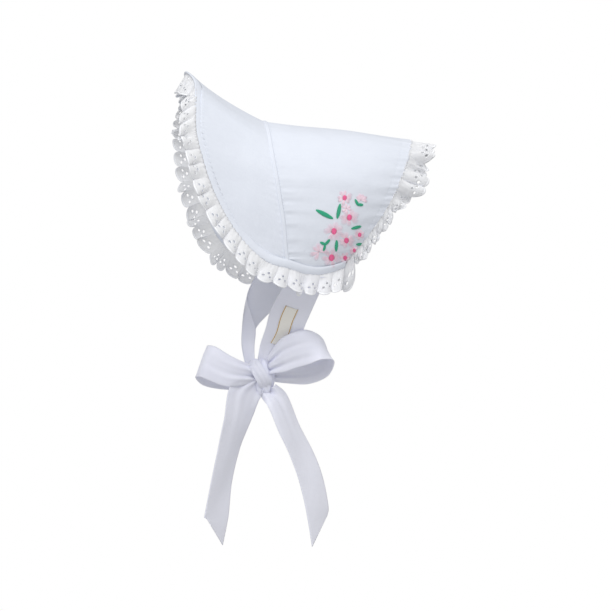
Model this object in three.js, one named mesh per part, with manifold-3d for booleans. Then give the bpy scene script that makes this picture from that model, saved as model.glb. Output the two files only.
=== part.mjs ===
// Baby bonnet in white cotton, in the form in which it is worn.
// Millimetres. -X is the face, +X the nape, -Y the near side, +Y the far side, +Z up.
// The origin is on the inside of the crown's top, where the head sits.

import * as THREE from 'three';
import { mergeVertices } from 'three/addons/utils/BufferGeometryUtils.js';
import Module from 'manifold-3d';

const wasm = await Module();
wasm.setup();

// Cloth and trims
const CROWN_WALL = 1.6;
const BRIM_WALL = 2.4;
const LACE_WALL = 1;
const RIBBON_WALL = 1;
const GAP = 0.3;

// Crown, between the front seam and the gathered back edge
const CROWN_DEPTH = 134;
const CROWN_HEIGHT = 133;
const CROWN_HALF_WIDTH = 67;
const BACK_HALF_WIDTH = 46;
const CROWN_BULGE = 6;
const NECK_DIP = 6;
const SEAM_TOP_X = -32.6;
const SEAM_TOP_Z = CROWN_WALL + 4;
const GATHER_DEPTH = 1.2;
const CROWN_STEPS_ACROSS = 48;
const CROWN_STEPS_BACK = 8;

// Brim, in front of the seam
const BRIM_REACH = 72;
const BRIM_RISE = 45;
const BRIM_FLARE = 13;
const BRIM_HOLLOW = 3;
const BRIM_STEPS_ACROSS = 36;
const BRIM_STEPS_OUT = 5;

// Piping over the seam and binding round the edge
const PIPING_WIDTH = 3.4;
const PIPING_HEIGHT = 3.4;
const BINDING_WIDTH = 8;
const BINDING_HEIGHT = 3.4;
const BINDING_STEPS = 56;

// Eyelet lace
const LACE_WIDTH = 21;
const SCALLOP_PITCH = 13;
const SCALLOP_DEPTH = 3;
const EYELET_SHARE = 0.3;
const EYELET_ROWS = [0.5, 0.72];
const PLEAT_DEPTH = 3.2;

// Ribbon ties and bow
const RIBBON_WIDTH = 32;
const TIE_DROP = 94;
const KNOT_X = -34;
const KNOT_Y = -9;
const KNOT_SIZE = { x: 23, y: 20, z: 31 };
const LOOP_REACH = 60;
const LOOP_DEPTH = 20;
const TAIL_DROP = 140;
const TAIL_SPREAD = 50;
const TIE_STEPS = 12;
const LOOP_STEPS = 20;
const TAIL_STEPS = 14;
const LABEL_WIDTH = 12;
const LABEL_LENGTH = 46;

// Stations from the top of the arch down one side to the neck edge.
// seam: back of the seam's top as a share of CROWN_DEPTH, out of CROWN_HALF_WIDTH, down of CROWN_HEIGHT
// rear: the same for the back edge, with out as a share of BACK_HALF_WIDTH
// brim: forward, flare and rise of the brim's edge from the seam, as shares of the brim's sizes,
//   and drift, how much further forward the far side stands than the near one
// bulge: outward swell of the crown between seam and back edge, as a share of CROWN_BULGE
const STATIONS = [
  { seam: [0.000, 0.000, 0.000], rear: [1.000, 0.000, 0.123], brim: [0.980, 0.00, 1.000], drift: 0.00, bulge: 0.20 },
  { seam: [0.003, 0.507, 0.070], rear: [0.982, 0.435, 0.161], brim: [0.976, 0.46, 0.933], drift: -0.04, bulge: 0.45 },
  { seam: [0.013, 0.836, 0.223], rear: [0.947, 0.740, 0.259], brim: [0.982, 0.46, 0.889], drift: -0.10, bulge: 0.80 },
  { seam: [0.034, 0.970, 0.371], rear: [0.896, 0.913, 0.386], brim: [1.000, 0.69, 0.844], drift: -0.12, bulge: 1.00 },
  { seam: [0.054, 1.000, 0.507], rear: [0.844, 0.978, 0.507], brim: [0.960, 0.92, 0.667], drift: -0.08, bulge: 1.00 },
  { seam: [0.082, 0.985, 0.680], rear: [0.758, 1.000, 0.657], brim: [0.867, 1.00, 0.511], drift: -0.03, bulge: 0.90 },
  { seam: [0.101, 0.925, 0.868], rear: [0.628, 0.978, 0.838], brim: [0.600, 0.85, 0.267], drift: 0.08, bulge: 0.60 },
  { seam: [0.113, 0.896, 0.943], rear: [0.557, 0.957, 0.920], brim: [0.257, 0.385, -0.033], drift: 0.06, bulge: 0.40 },
  { seam: [0.123, 0.866, 1.000], rear: [0.513, 0.935, 0.988], brim: [0.000, 0.00, 0.000], drift: 0.00, bulge: 0.20 },
];

// The way in which the lace stands off the edge at each station: forward, out and up
const BRIM_LACE = [
  [0.45, 0.00, -0.89],
  [0.62, 0.30, -0.72],
  [0.76, 0.52, -0.38],
  [0.76, 0.62, -0.18],
  [0.76, 0.62, -0.18],
  [0.74, 0.58, -0.33],
  [0.52, 0.52, -0.68],
  [0.36, 0.42, -0.83],
  [0.18, 0.30, -0.94],
];
const NECK_LACE = [0.00, 0.26, -0.96];
const REAR_LACE = [
  [-0.96, 0.00, -0.28],
  [-0.96, 0.10, -0.26],
  [-0.97, 0.12, -0.20],
  [-0.98, 0.10, -0.12],
  [-0.90, -0.40, -0.16],
  [-0.52, -0.82, -0.24],
  [-0.42, -0.84, -0.34],
  [-0.36, -0.84, -0.40],
  [-0.26, -0.80, -0.54],
];

const CLOTH = { color: 0xe9edf6, roughness: 0.85, metalness: 0 };
const LACE = { color: 0xf0f0f2, roughness: 0.9, metalness: 0 };
const RIBBON = { color: 0xdfe2ee, roughness: 0.7, metalness: 0 };
const LABEL_WEAVE = { color: 0xf4f2ea, roughness: 0.6, metalness: 0 };

const group = new THREE.Group();

function v3(x, y, z) {
  return new THREE.Vector3(x, y, z);
}

function smooth(low, high, value) {
  const t = Math.min(1, Math.max(0, (value - low) / (high - low)));
  return t * t * (3 - 2 * t);
}

// A smooth curve through one side's points, mirrored to the other side.
// It starts at the near side's neck edge, passes the top and ends at the far side's neck edge.
function archCurve(pointAt) {
  const points = [];
  const last = STATIONS.length - 1;
  for (let i = last; i > 0; i -= 1) {
    points.push(pointAt(i, -1));
  }
  for (let i = 0; i <= last; i += 1) {
    points.push(pointAt(i, 1));
  }
  return new THREE.CatmullRomCurve3(points, false, 'catmullrom', 0.5);
}

function crownPoint(share, halfWidth, side) {
  return v3(
    SEAM_TOP_X + share[0] * CROWN_DEPTH,
    side * share[1] * halfWidth,
    SEAM_TOP_Z - share[2] * CROWN_HEIGHT
  );
}

function brimPoint(row, side) {
  const base = crownPoint(row.seam, CROWN_HALF_WIDTH, side);
  const drift = side > 0 ? row.drift : 0;
  return base.add(v3(
    -(row.brim[0] + drift) * BRIM_REACH,
    side * row.brim[1] * BRIM_FLARE,
    row.brim[2] * BRIM_RISE
  ));
}

const seamRail = archCurve((i, side) => crownPoint(STATIONS[i].seam, CROWN_HALF_WIDTH, side));
const rearRail = archCurve((i, side) => crownPoint(STATIONS[i].rear, BACK_HALF_WIDTH, side));
const brimRail = archCurve((i, side) => brimPoint(STATIONS[i], side));
const bulgeRail = archCurve((i) => v3(STATIONS[i].bulge * CROWN_BULGE, 0, 0));

// Which way is out of the head at a point: sideways below the widest level, and round the top above it
function outward(point) {
  const level = SEAM_TOP_Z - CROWN_HALF_WIDTH;
  return v3(0, point.y, Math.max(0, point.z - level)).normalize();
}

// The crown's outside, with s from near (0) over the top (0.5) to far (1), and t from seam to back edge
function crownSurface(s, t) {
  const seam = seamRail.getPoint(s);
  const rear = rearRail.getPoint(s);
  const swell = Math.sin(Math.PI * t);
  const point = seam.clone().lerp(rear, t);
  point.addScaledVector(outward(seam), swell * bulgeRail.getPoint(s).x);
  const toNeck = smooth(0.8, 1, Math.abs(2 * s - 1));
  point.z -= NECK_DIP * swell * toNeck;
  return point;
}

// Small gathers where the back edge is drawn in
function gatheredCrown(s, t) {
  const point = crownSurface(s, t);
  const ripple = Math.cos(Math.PI * CROWN_STEPS_ACROSS * s);
  const depth = GATHER_DEPTH * smooth(0.75, 1, t) * ripple;
  return point.addScaledVector(outward(point), depth);
}

// The brim's outside, with t from the seam to the edge, slightly hollow in between
function brimSurface(s, t) {
  const seam = seamRail.getPoint(s);
  const edge = brimRail.getPoint(s);
  const reach = seam.distanceTo(edge) / BRIM_REACH;
  const point = seam.clone().lerp(edge, t);
  return point.addScaledVector(outward(seam), -BRIM_HOLLOW * reach * Math.sin(Math.PI * t));
}

// The unit normal of a surface by small differences, on the side that cross(du, dv) points to
function surfaceNormal(surface, u, v) {
  const step = 0.004;
  const u0 = Math.max(0, u - step);
  const u1 = Math.min(1, u + step);
  const v0 = Math.max(0, v - step);
  const v1 = Math.min(1, v + step);
  const du = surface(u1, v).sub(surface(u0, v));
  const dv = surface(u, v1).sub(surface(u, v0));
  return du.cross(dv).normalize();
}

// Flips a closed mesh's triangles if they point inwards
function outwardIndex(points, index) {
  let volume = 0;
  for (let i = 0; i < index.length; i += 3) {
    const a = points[index[i]];
    const b = points[index[i + 1]];
    const c = points[index[i + 2]];
    volume += a.dot(b.clone().cross(c));
  }
  if (volume < 0) {
    for (let i = 0; i < index.length; i += 3) {
      [index[i + 1], index[i + 2]] = [index[i + 2], index[i + 1]];
    }
  }
  return index;
}

function closedGeometry(points, index) {
  const geometry = new THREE.BufferGeometry();
  const position = points.flatMap((p) => [p.x, p.y, p.z]);
  geometry.setAttribute('position', new THREE.Float32BufferAttribute(position, 3));
  geometry.setIndex(outwardIndex(points, index));
  return geometry;
}

// A cloth wall: a grid over a surface and a second grid one wall away, closed along all its edges.
// The wall lies from `shift` to `shift + wall` along the normal. A cell that `isHole` names is left open.
function clothWall({ surface, us, vs, wall, shift = 0, isHole = () => false }) {
  const points = [];
  const columns = vs.length;
  for (const layer of [shift + wall, shift]) {
    for (const u of us) {
      for (const v of vs) {
        const normal = surfaceNormal(surface, u, v);
        points.push(surface(u, v).addScaledVector(normal, layer));
      }
    }
  }
  const lower = us.length * columns;
  const index = [];
  const quad = (a, b, c, d) => index.push(a, b, c, a, c, d);
  const solid = (i, j) => i >= 0 && j >= 0 && i < us.length - 1 && j < columns - 1 && !isHole(i, j);
  const rim = (p, q) => quad(p, p + lower, q + lower, q);
  for (let i = 0; i < us.length - 1; i += 1) {
    for (let j = 0; j < columns - 1; j += 1) {
      if (!solid(i, j)) continue;
      const a = i * columns + j;
      const b = a + columns;
      quad(a, b, b + 1, a + 1);
      quad(lower + a, lower + a + 1, lower + b + 1, lower + b);
      if (!solid(i, j - 1)) rim(a, b);
      if (!solid(i + 1, j)) rim(b, b + 1);
      if (!solid(i, j + 1)) rim(b + 1, a + 1);
      if (!solid(i - 1, j)) rim(a + 1, a);
    }
  }
  return closedGeometry(points, index);
}

// A closed strip swept along frames { at, side, up } with a section of [side, up] points
function sweptStrip(frames, section) {
  const points = [];
  const n = section.length;
  for (const { at, side, up } of frames) {
    for (const [a, b] of section) {
      points.push(at.clone().addScaledVector(side, a).addScaledVector(up, b));
    }
  }
  const index = [];
  for (let i = 0; i < frames.length - 1; i += 1) {
    for (let k = 0; k < n; k += 1) {
      const next = (k + 1) % n;
      index.push(i * n + k, i * n + next, (i + 1) * n + next);
      index.push(i * n + k, (i + 1) * n + next, (i + 1) * n + k);
    }
  }
  const end = (frames.length - 1) * n;
  for (let k = 1; k < n - 1; k += 1) {
    index.push(0, k + 1, k);
    index.push(end, end + k, end + k + 1);
  }
  return closedGeometry(points, index);
}

function toSolid(geometry) {
  const bare = geometry.clone();
  bare.deleteAttribute('normal');
  bare.deleteAttribute('uv');
  const merged = mergeVertices(bare, 1e-4);
  return new wasm.Manifold(new wasm.Mesh({
    numProp: 3,
    vertProperties: Float32Array.from(merged.attributes.position.array),
    triVerts: Uint32Array.from(merged.index.array),
  }));
}

function fromSolid(solid) {
  const mesh = solid.getMesh();
  const geometry = new THREE.BufferGeometry();
  geometry.setAttribute('position', new THREE.Float32BufferAttribute(mesh.vertProperties, 3));
  geometry.setIndex(Array.from(mesh.triVerts));
  return geometry;
}

// The body that is left of a cloth wall after a cut, without the slivers beyond the cut
function mainBody(solid) {
  const bodies = solid.decompose();
  return bodies.reduce((most, body) => (body.volume() > most.volume() ? body : most));
}

function addPiece(name, geometry, finish) {
  geometry.computeVertexNormals();
  const mesh = new THREE.Mesh(geometry, new THREE.MeshStandardMaterial(finish));
  mesh.name = name;
  group.add(mesh);
}

function evenSteps(count, from = 0, to = 1) {
  return Array.from({ length: count + 1 }, (_, i) => from + (to - from) * i / count);
}

// An eight-sided section, wide along the first axis, with its middle at [centre, 0]
function roundedSection(centre, width, height) {
  const corner = 0.3;
  const w = width / 2;
  const h = height / 2;
  return [
    [centre - w, -h * corner],
    [centre - w * (1 - corner), -h],
    [centre + w * (1 - corner), -h],
    [centre + w, -h * corner],
    [centre + w, h * corner],
    [centre + w * (1 - corner), h],
    [centre - w * (1 - corner), h],
    [centre - w, h * corner],
  ];
}

// Frames of the binding's path: near neck edge, brim edge, far neck edge.
// side points from the edge into the cloth, and up points out of the head.
const EDGE_STEP = 0.04;
const NECK_STATIONS = [1, 0.75, 0.5, 0.25];

function edgePath() {
  const at = [];
  const side = [];
  const addNeck = (s, inner, t) => {
    at.push(crownSurface(s, t));
    side.push(crownSurface(inner, t).sub(crownSurface(s, t)).normalize());
  };
  NECK_STATIONS.forEach((t) => addNeck(0, EDGE_STEP, t));
  const last = 2 * (STATIONS.length - 1);
  for (let i = 0; i <= last; i += 1) {
    const s = i / last;
    const edge = brimSurface(s, 1);
    at.push(edge);
    const corner = i === 0 || i === last;
    const inner = corner ? crownSurface(s === 0 ? EDGE_STEP : 1 - EDGE_STEP, 0.02) : brimSurface(s, 1 - EDGE_STEP);
    side.push(inner.sub(edge).normalize());
  }
  [...NECK_STATIONS].reverse().forEach((t) => addNeck(1, 1 - EDGE_STEP, t));
  return {
    at: new THREE.CatmullRomCurve3(at),
    side: new THREE.CatmullRomCurve3(side),
  };
}

const edge = edgePath();

function edgeFrame(u) {
  const t = edge.at.getUtoTmapping(u);
  const at = edge.at.getPoint(t);
  const along = edge.at.getTangent(t);
  const side = edge.side.getPoint(t);
  side.addScaledVector(along, -side.dot(along)).normalize();
  const up = along.clone().cross(side).normalize();
  return { at, side, up: up.negate() };
}

const edgeFrames = evenSteps(BINDING_STEPS).map(edgeFrame);
const bindingMiddle = BINDING_WIDTH / 2;
const BINDING_CUT_SPARE = 3;
const bindingSection = roundedSection(bindingMiddle, BINDING_WIDTH, BINDING_HEIGHT);
const bindingCut = toSolid(sweptStrip(edgeFrames, roundedSection(
  bindingMiddle + (GAP - BINDING_CUT_SPARE) / 2,
  BINDING_WIDTH + GAP + BINDING_CUT_SPARE,
  BINDING_HEIGHT + 2 * BINDING_CUT_SPARE
)));

// The space that the lace and the ties leave free round the binding
const bindingRoom = toSolid(sweptStrip(edgeFrames, roundedSection(
  bindingMiddle,
  BINDING_WIDTH + 2 * GAP,
  BINDING_HEIGHT + 2 * GAP
)));

// Piping: a thin roll that stands on the seam
function seamFrame(s) {
  const at = seamRail.getPoint(s);
  const along = seamRail.getTangent(s);
  const up = outward(at);
  up.addScaledVector(along, -up.dot(along)).normalize();
  at.addScaledVector(up, -CROWN_WALL / 2);
  const side = up.clone().cross(along).normalize();
  return { at, side, up };
}

const pipingFrames = evenSteps(BRIM_STEPS_ACROSS).map(seamFrame);

function addCrownAndBrim() {
  const crown = clothWall({
    surface: gatheredCrown,
    us: evenSteps(CROWN_STEPS_ACROSS),
    vs: evenSteps(CROWN_STEPS_BACK, PIPING_WIDTH / 2 / CROWN_DEPTH, 1),
    wall: CROWN_WALL,
    shift: -CROWN_WALL,
  });
  const brim = clothWall({
    surface: brimSurface,
    us: evenSteps(BRIM_STEPS_ACROSS, 0.035, 0.965),
    vs: evenSteps(BRIM_STEPS_OUT, PIPING_WIDTH / 4 / BRIM_REACH, 1),
    wall: BRIM_WALL,
    shift: -BRIM_WALL,
  });
  const piping = sweptStrip(pipingFrames, roundedSection(0, PIPING_WIDTH, PIPING_HEIGHT));
  const pipingCut = toSolid(sweptStrip(
    pipingFrames,
    roundedSection(0, PIPING_WIDTH + 2 * GAP, PIPING_HEIGHT + 2 * BINDING_CUT_SPARE)
  ));
  const bothCuts = bindingCut.add(pipingCut);
  addPiece('crown', fromSolid(mainBody(toSolid(crown).subtract(bothCuts))), CLOTH);
  addPiece('brim', fromSolid(mainBody(toSolid(brim).subtract(bothCuts))), CLOTH);
  addPiece('seam_piping', fromSolid(mainBody(toSolid(piping).subtract(bindingCut))), CLOTH);
  addPiece('edge_binding', sweptStrip(edgeFrames, bindingSection), CLOTH);
}

// Lace along a path. The root stands a gap outside the edge, on its outer face, and each scallop is one
// pleat with one eyelet. at, away and stand are curves: the edge, the way out of the cloth and the lace's way.
const SCALLOP_PHASES = [0, 0.5 - EYELET_SHARE / 2, 0.5 + EYELET_SHARE / 2];
const LACE_LIFT = 0.9;
const TIE_INSET = 1.2;
const LACE_END_TRIM = 0.004;

function laceWall({ at, away, stand, pleat, seat }) {
  const surface = (u, v) => {
    const t = at.getUtoTmapping(u);
    const along = at.getTangent(t);
    const out = away.getPoint(t).normalize();
    const way = stand.getPoint(t).normalize();
    const face = along.clone().cross(way).normalize();
    const lift = out.clone().cross(along).normalize();
    if (lift.dot(outward(at.getPoint(t))) < 0) lift.negate();
    const phase = count * u;
    const notch = Math.abs(Math.cos(Math.PI * phase)) ** 4;
    const reach = LACE_WIDTH * v - SCALLOP_DEPTH * notch * smooth(EYELET_ROWS[1], 1, v);
    const wave = pleat * smooth(0.05, 1.2, v) * Math.cos(2 * Math.PI * phase);
    return at.getPoint(t)
      .addScaledVector(out, seat + LACE_WALL / 2)
      .addScaledVector(lift, LACE_LIFT)
      .addScaledVector(way, reach)
      .addScaledVector(face, wave);
  };
  const count = Math.round(at.getLength() / SCALLOP_PITCH);
  const us = [LACE_END_TRIM];
  for (let i = 0; i < count; i += 1) {
    for (const phase of SCALLOP_PHASES) {
      if (i + phase > 0) us.push((i + phase) / count);
    }
  }
  us.push(1 - LACE_END_TRIM);
  return clothWall({
    surface,
    us,
    vs: [0, ...EYELET_ROWS, 1],
    wall: LACE_WALL,
    shift: -LACE_WALL / 2,
    isHole: (i, j) => j === 1 && i % SCALLOP_PHASES.length === 1,
  });
}

// A curve of directions for both sides from one side's table of [forward, out, up]
function sideCurve(table, neck) {
  const near = table.map(([forward, out, up]) => v3(-forward, -out, up)).reverse();
  const far = table.map(([forward, out, up]) => v3(-forward, out, up)).slice(1);
  const nearNeck = neck.map(([forward, out, up]) => v3(-forward, -out, up));
  const farNeck = neck.map(([forward, out, up]) => v3(-forward, out, up));
  return new THREE.CatmullRomCurve3([...nearNeck, ...near, ...far, ...farNeck]);
}

function addLace() {
  const edgeAway = new THREE.CatmullRomCurve3(edge.side.points.map((p) => p.clone().negate()));
  const brimStand = sideCurve(BRIM_LACE, NECK_STATIONS.map(() => NECK_LACE));
  const brimLace = laceWall({ at: edge.at, away: edgeAway, stand: brimStand, pleat: PLEAT_DEPTH, seat: GAP });
  addPiece('brim_ruffle', fromSolid(mainBody(toSolid(brimLace).subtract(bindingRoom))), LACE);
  const last = rearRail.points.length - 1;
  const rearAway = rearRail.points.map((p, i) => p.clone().sub(crownSurface(i / last, 1 - EDGE_STEP)));
  const rearLace = laceWall({
    at: rearRail,
    away: new THREE.CatmullRomCurve3(rearAway),
    stand: sideCurve(REAR_LACE, []),
    pleat: PLEAT_DEPTH,
    seat: GAP + GATHER_DEPTH / 2,
  });
  addPiece('back_ruffle', rearLace, LACE);
}

// Ribbons. Each row of a table is one cross-cut of the ribbon, seen from the near side:
// x, y, z: its middle from the knot's centre, as shares of the run's own sizes
// width: the ribbon's width there as a share of RIBBON_WIDTH
// lean: the cut's angle in the picture plane, from +X towards +Z, in degrees
// turn: the cut's angle into the depth, towards +Y, in degrees
const KNOT_CENTRE = v3(KNOT_X, KNOT_Y, SEAM_TOP_Z - CROWN_HEIGHT - NECK_DIP / 2 - TIE_DROP);

function widthVector({ width, lean, turn }) {
  const a = THREE.MathUtils.degToRad(lean);
  const b = THREE.MathUtils.degToRad(turn);
  const flat = Math.cos(b);
  return v3(Math.cos(a) * flat, Math.sin(b), Math.sin(a) * flat).multiplyScalar(width * RIBBON_WIDTH);
}

function ribbonSurface(rows, place) {
  const middle = new THREE.CatmullRomCurve3(rows.map(place));
  const across = new THREE.CatmullRomCurve3(rows.map(widthVector));
  return (u, v) => middle.getPoint(u).addScaledVector(across.getPoint(u), v - 0.5);
}

const knotShape = new THREE.SphereGeometry(0.5, 14, 10);

function knotSolid(spare) {
  const geometry = knotShape.clone();
  geometry.scale(KNOT_SIZE.x + 2 * spare, KNOT_SIZE.y + 2 * spare, KNOT_SIZE.z + 2 * spare);
  geometry.translate(KNOT_CENTRE.x, KNOT_CENTRE.y, KNOT_CENTRE.z);
  return geometry;
}

const ribbonRoom = toSolid(knotSolid(GAP)).add(bindingRoom);

function addRibbon(name, surface, steps) {
  const wall = clothWall({
    surface,
    us: evenSteps(steps),
    vs: [0, 0.33, 0.67, 1],
    wall: RIBBON_WALL,
    shift: -RIBBON_WALL / 2,
  });
  addPiece(name, fromSolid(mainBody(toSolid(wall).subtract(ribbonRoom))), RIBBON);
}

function placeFrom(reach, depth, drop) {
  return (row) => v3(row.x * reach, row.y * depth, row.z * drop).add(KNOT_CENTRE);
}

const LEFT_LOOP = [
  { x: -0.10, y: -0.25, z: 0.06, width: 0.45, lean: -90, turn: 0 },
  { x: -0.54, y: -0.65, z: 0.14, width: 0.84, lean: -105, turn: 0 },
  { x: -0.88, y: -0.50, z: 0.29, width: 0.94, lean: -115, turn: 0 },
  { x: -0.94, y: 0.00, z: 0.28, width: 0.94, lean: -112, turn: 0 },
  { x: -0.82, y: 0.38, z: 0.17, width: 0.94, lean: -106, turn: 0 },
  { x: -0.48, y: 0.40, z: 0.07, width: 0.81, lean: -98, turn: 0 },
  { x: -0.12, y: 0.25, z: 0.02, width: 0.44, lean: -90, turn: 0 },
];
const RIGHT_LOOP = [
  { x: 0.07, y: -0.34, z: 0.19, width: 0.50, lean: -82, turn: 0 },
  { x: 0.30, y: -0.70, z: 0.35, width: 0.95, lean: -83, turn: 0 },
  { x: 0.58, y: -0.90, z: 0.45, width: 1.00, lean: -87, turn: -8 },
  { x: 0.84, y: -0.72, z: 0.45, width: 1.00, lean: -92, turn: -52 },
  { x: 1.00, y: -0.12, z: 0.36, width: 0.98, lean: -66, turn: -62 },
  { x: 0.94, y: 0.30, z: 0.25, width: 0.95, lean: -80, turn: -42 },
  { x: 0.66, y: 0.42, z: 0.15, width: 0.88, lean: -82, turn: -26 },
  { x: 0.34, y: 0.34, z: 0.10, width: 0.62, lean: -88, turn: -14 },
  { x: 0.12, y: 0.20, z: 0.05, width: 0.38, lean: -90, turn: 0 },
];
const LEFT_TAIL = [
  { x: -0.16, y: -0.05, z: -0.068, width: 0.46, lean: -42, turn: 0 },
  { x: -0.35, y: -0.10, z: -0.090, width: 0.86, lean: -24, turn: 20 },
  { x: -0.45, y: -0.05, z: -0.261, width: 1.00, lean: 4, turn: 40 },
  { x: -0.59, y: 0.05, z: -0.459, width: 1.00, lean: 12, turn: 48 },
  { x: -0.74, y: 0.10, z: -0.697, width: 1.00, lean: 12, turn: 49 },
  { x: -0.81, y: 0.10, z: -0.867, width: 1.02, lean: 5, turn: 48 },
  { x: -0.86, y: 0.10, z: -0.971, width: 1.20, lean: -58, turn: 38 },
];
const RIGHT_TAIL = [
  { x: 0.13, y: -0.05, z: -0.077, width: 0.50, lean: 36, turn: 0 },
  { x: 0.31, y: -0.10, z: -0.140, width: 0.80, lean: 30, turn: 42 },
  { x: 0.52, y: -0.05, z: -0.330, width: 1.00, lean: 18, turn: 48 },
  { x: 0.73, y: 0.05, z: -0.481, width: 1.00, lean: 14, turn: 48 },
  { x: 0.90, y: 0.10, z: -0.643, width: 1.00, lean: 6, turn: 48 },
  { x: 1.00, y: 0.10, z: -0.826, width: 1.00, lean: 5, turn: 50 },
  { x: 1.03, y: 0.10, z: -0.971, width: 1.22, lean: 59, turn: 38 },
];

// Ties: x and y run from the seat on the neck edge (0) to the knot (1), and sway is a side step in
// shares of the ribbon's width. fall is the share of the way down.
const NEAR_TIE_SEAT = 0.36;
const FAR_TIE_SEAT = 0.06;
const NEAR_TIE = [
  { fall: 0.00, near: 0.00, sway: 0.00, width: 1.08, lean: 4, turn: 14 },
  { fall: 0.28, near: 0.24, sway: -0.10, width: 1.06, lean: 12, turn: 10 },
  { fall: 0.53, near: 0.50, sway: -0.08, width: 1.02, lean: 18, turn: -4 },
  { fall: 0.78, near: 0.78, sway: -0.06, width: 0.80, lean: 16, turn: -8 },
  { fall: 1.10, near: 1.00, sway: 0.00, width: 0.40, lean: 10, turn: 0 },
];
// The far tie is folded over along one side: x, y place its crease, fold is the share of the width that
// is folded over, and flap and back are the plan angles of its two leaves from +X towards +Y, in degrees
const CREASE_AT = 0.33;
const FAR_TIE = [
  { fall: 0.00, near: 0.00, sway: -0.63, width: 0.80, fold: 0.06, flap: 185, back: -6 },
  { fall: 0.24, near: 0.18, sway: -0.87, width: 1.00, fold: 0.08, flap: 262, back: 4 },
  { fall: 0.45, near: 0.42, sway: -0.87, width: 1.00, fold: 0.25, flap: 310, back: 14 },
  { fall: 0.66, near: 0.66, sway: -0.80, width: 0.94, fold: 0.42, flap: 335, back: 44 },
  { fall: 0.86, near: 0.86, sway: -0.68, width: 0.80, fold: 0.42, flap: 342, back: 48 },
  { fall: 1.12, near: 1.00, sway: -0.30, width: 0.50, fold: 0.42, flap: 350, back: 40 },
];

function tieSeat(s, t) {
  const inner = s === 0 ? EDGE_STEP : 1 - EDGE_STEP;
  const at = crownSurface(s, t);
  const away = at.clone().sub(crownSurface(inner, t)).normalize();
  return at
    .addScaledVector(away, GAP + RIBBON_WALL / 2)
    .addScaledVector(outward(at), -TIE_INSET);
}

function tiePlace(seat) {
  return ({ fall, near, sway }) => v3(
    THREE.MathUtils.lerp(seat.x, KNOT_CENTRE.x, near) + sway * RIBBON_WIDTH,
    THREE.MathUtils.lerp(seat.y, KNOT_CENTRE.y, near),
    THREE.MathUtils.lerp(seat.z, KNOT_CENTRE.z + KNOT_SIZE.z / 2, fall)
  );
}

function foldedSurface(rows, place) {
  const crease = new THREE.CatmullRomCurve3(rows.map(place));
  const fold = new THREE.CatmullRomCurve3(rows.map((row) => v3(row.fold, row.fall, 0)));
  const leaf = (key) => new THREE.CatmullRomCurve3(rows.map((row) => {
    const angle = THREE.MathUtils.degToRad(row[key]);
    return v3(Math.cos(angle), Math.sin(angle), 0).multiplyScalar(row.width * RIBBON_WIDTH);
  }));
  const flap = leaf('flap');
  const back = leaf('back');
  return (u, v) => {
    const share = fold.getPoint(u).x;
    const onFlap = share * (1 - v / CREASE_AT);
    const onBack = (1 - share) * (v - CREASE_AT) / (1 - CREASE_AT);
    const side = (v < CREASE_AT ? flap : back).getPoint(u);
    return crease.getPoint(u).addScaledVector(side, v < CREASE_AT ? onFlap : onBack);
  };
}

// The small woven label, sewn to the outer face of the near tie
const LABEL_START = 0.33;
const LABEL_EDGE = 0.37;
const LABEL_WALL = 0.6;
const LABEL_SEAT = GAP + 0.15;

function addLabel(surface, tieLength) {
  const label = clothWall({
    surface,
    us: evenSteps(TIE_STEPS, LABEL_START, LABEL_START + LABEL_LENGTH / tieLength),
    vs: evenSteps(2, LABEL_EDGE, LABEL_EDGE + LABEL_WIDTH / RIBBON_WIDTH),
    wall: LABEL_WALL,
    shift: RIBBON_WALL / 2 + LABEL_SEAT,
  });
  addPiece('label', label, LABEL_WEAVE);
}

function addRibbons() {
  const loopPlace = placeFrom(LOOP_REACH, LOOP_DEPTH, LOOP_REACH);
  const tailPlace = placeFrom(TAIL_SPREAD, TAIL_SPREAD, TAIL_DROP);
  const nearTie = ribbonSurface(NEAR_TIE, tiePlace(tieSeat(0, NEAR_TIE_SEAT)));
  addRibbon('near_tie', nearTie, TIE_STEPS);
  addLabel(nearTie, nearTie(0, 0.5).distanceTo(nearTie(1, 0.5)));
  const farTie = foldedSurface(FAR_TIE, tiePlace(tieSeat(1, FAR_TIE_SEAT)));
  addRibbon('far_tie', farTie, TIE_STEPS);
  addRibbon('left_loop', ribbonSurface(LEFT_LOOP, loopPlace), LOOP_STEPS);
  addRibbon('right_loop', ribbonSurface(RIGHT_LOOP, loopPlace), LOOP_STEPS);
  addRibbon('left_tail', ribbonSurface(LEFT_TAIL, tailPlace), TAIL_STEPS);
  addRibbon('right_tail', ribbonSurface(RIGHT_TAIL, tailPlace), TAIL_STEPS);
  addPiece('bow_knot', knotSolid(0), RIBBON);
}

addCrownAndBrim();
addLace();
addRibbons();

export default group;
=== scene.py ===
# %% [markdown]
# Baby bonnet in white cotton, held up as a head holds it, with its chin ties knotted in a bow.
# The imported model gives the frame: every soft piece below is modelled finer in the place of its
# plain solid, so nothing is moved or resized afterwards.

# %% Load the frame
import math
from collections import namedtuple

import bmesh
import bpy
import numpy as np
from mathutils import Matrix, Vector
from mathutils.bvhtree import BVHTree


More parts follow.
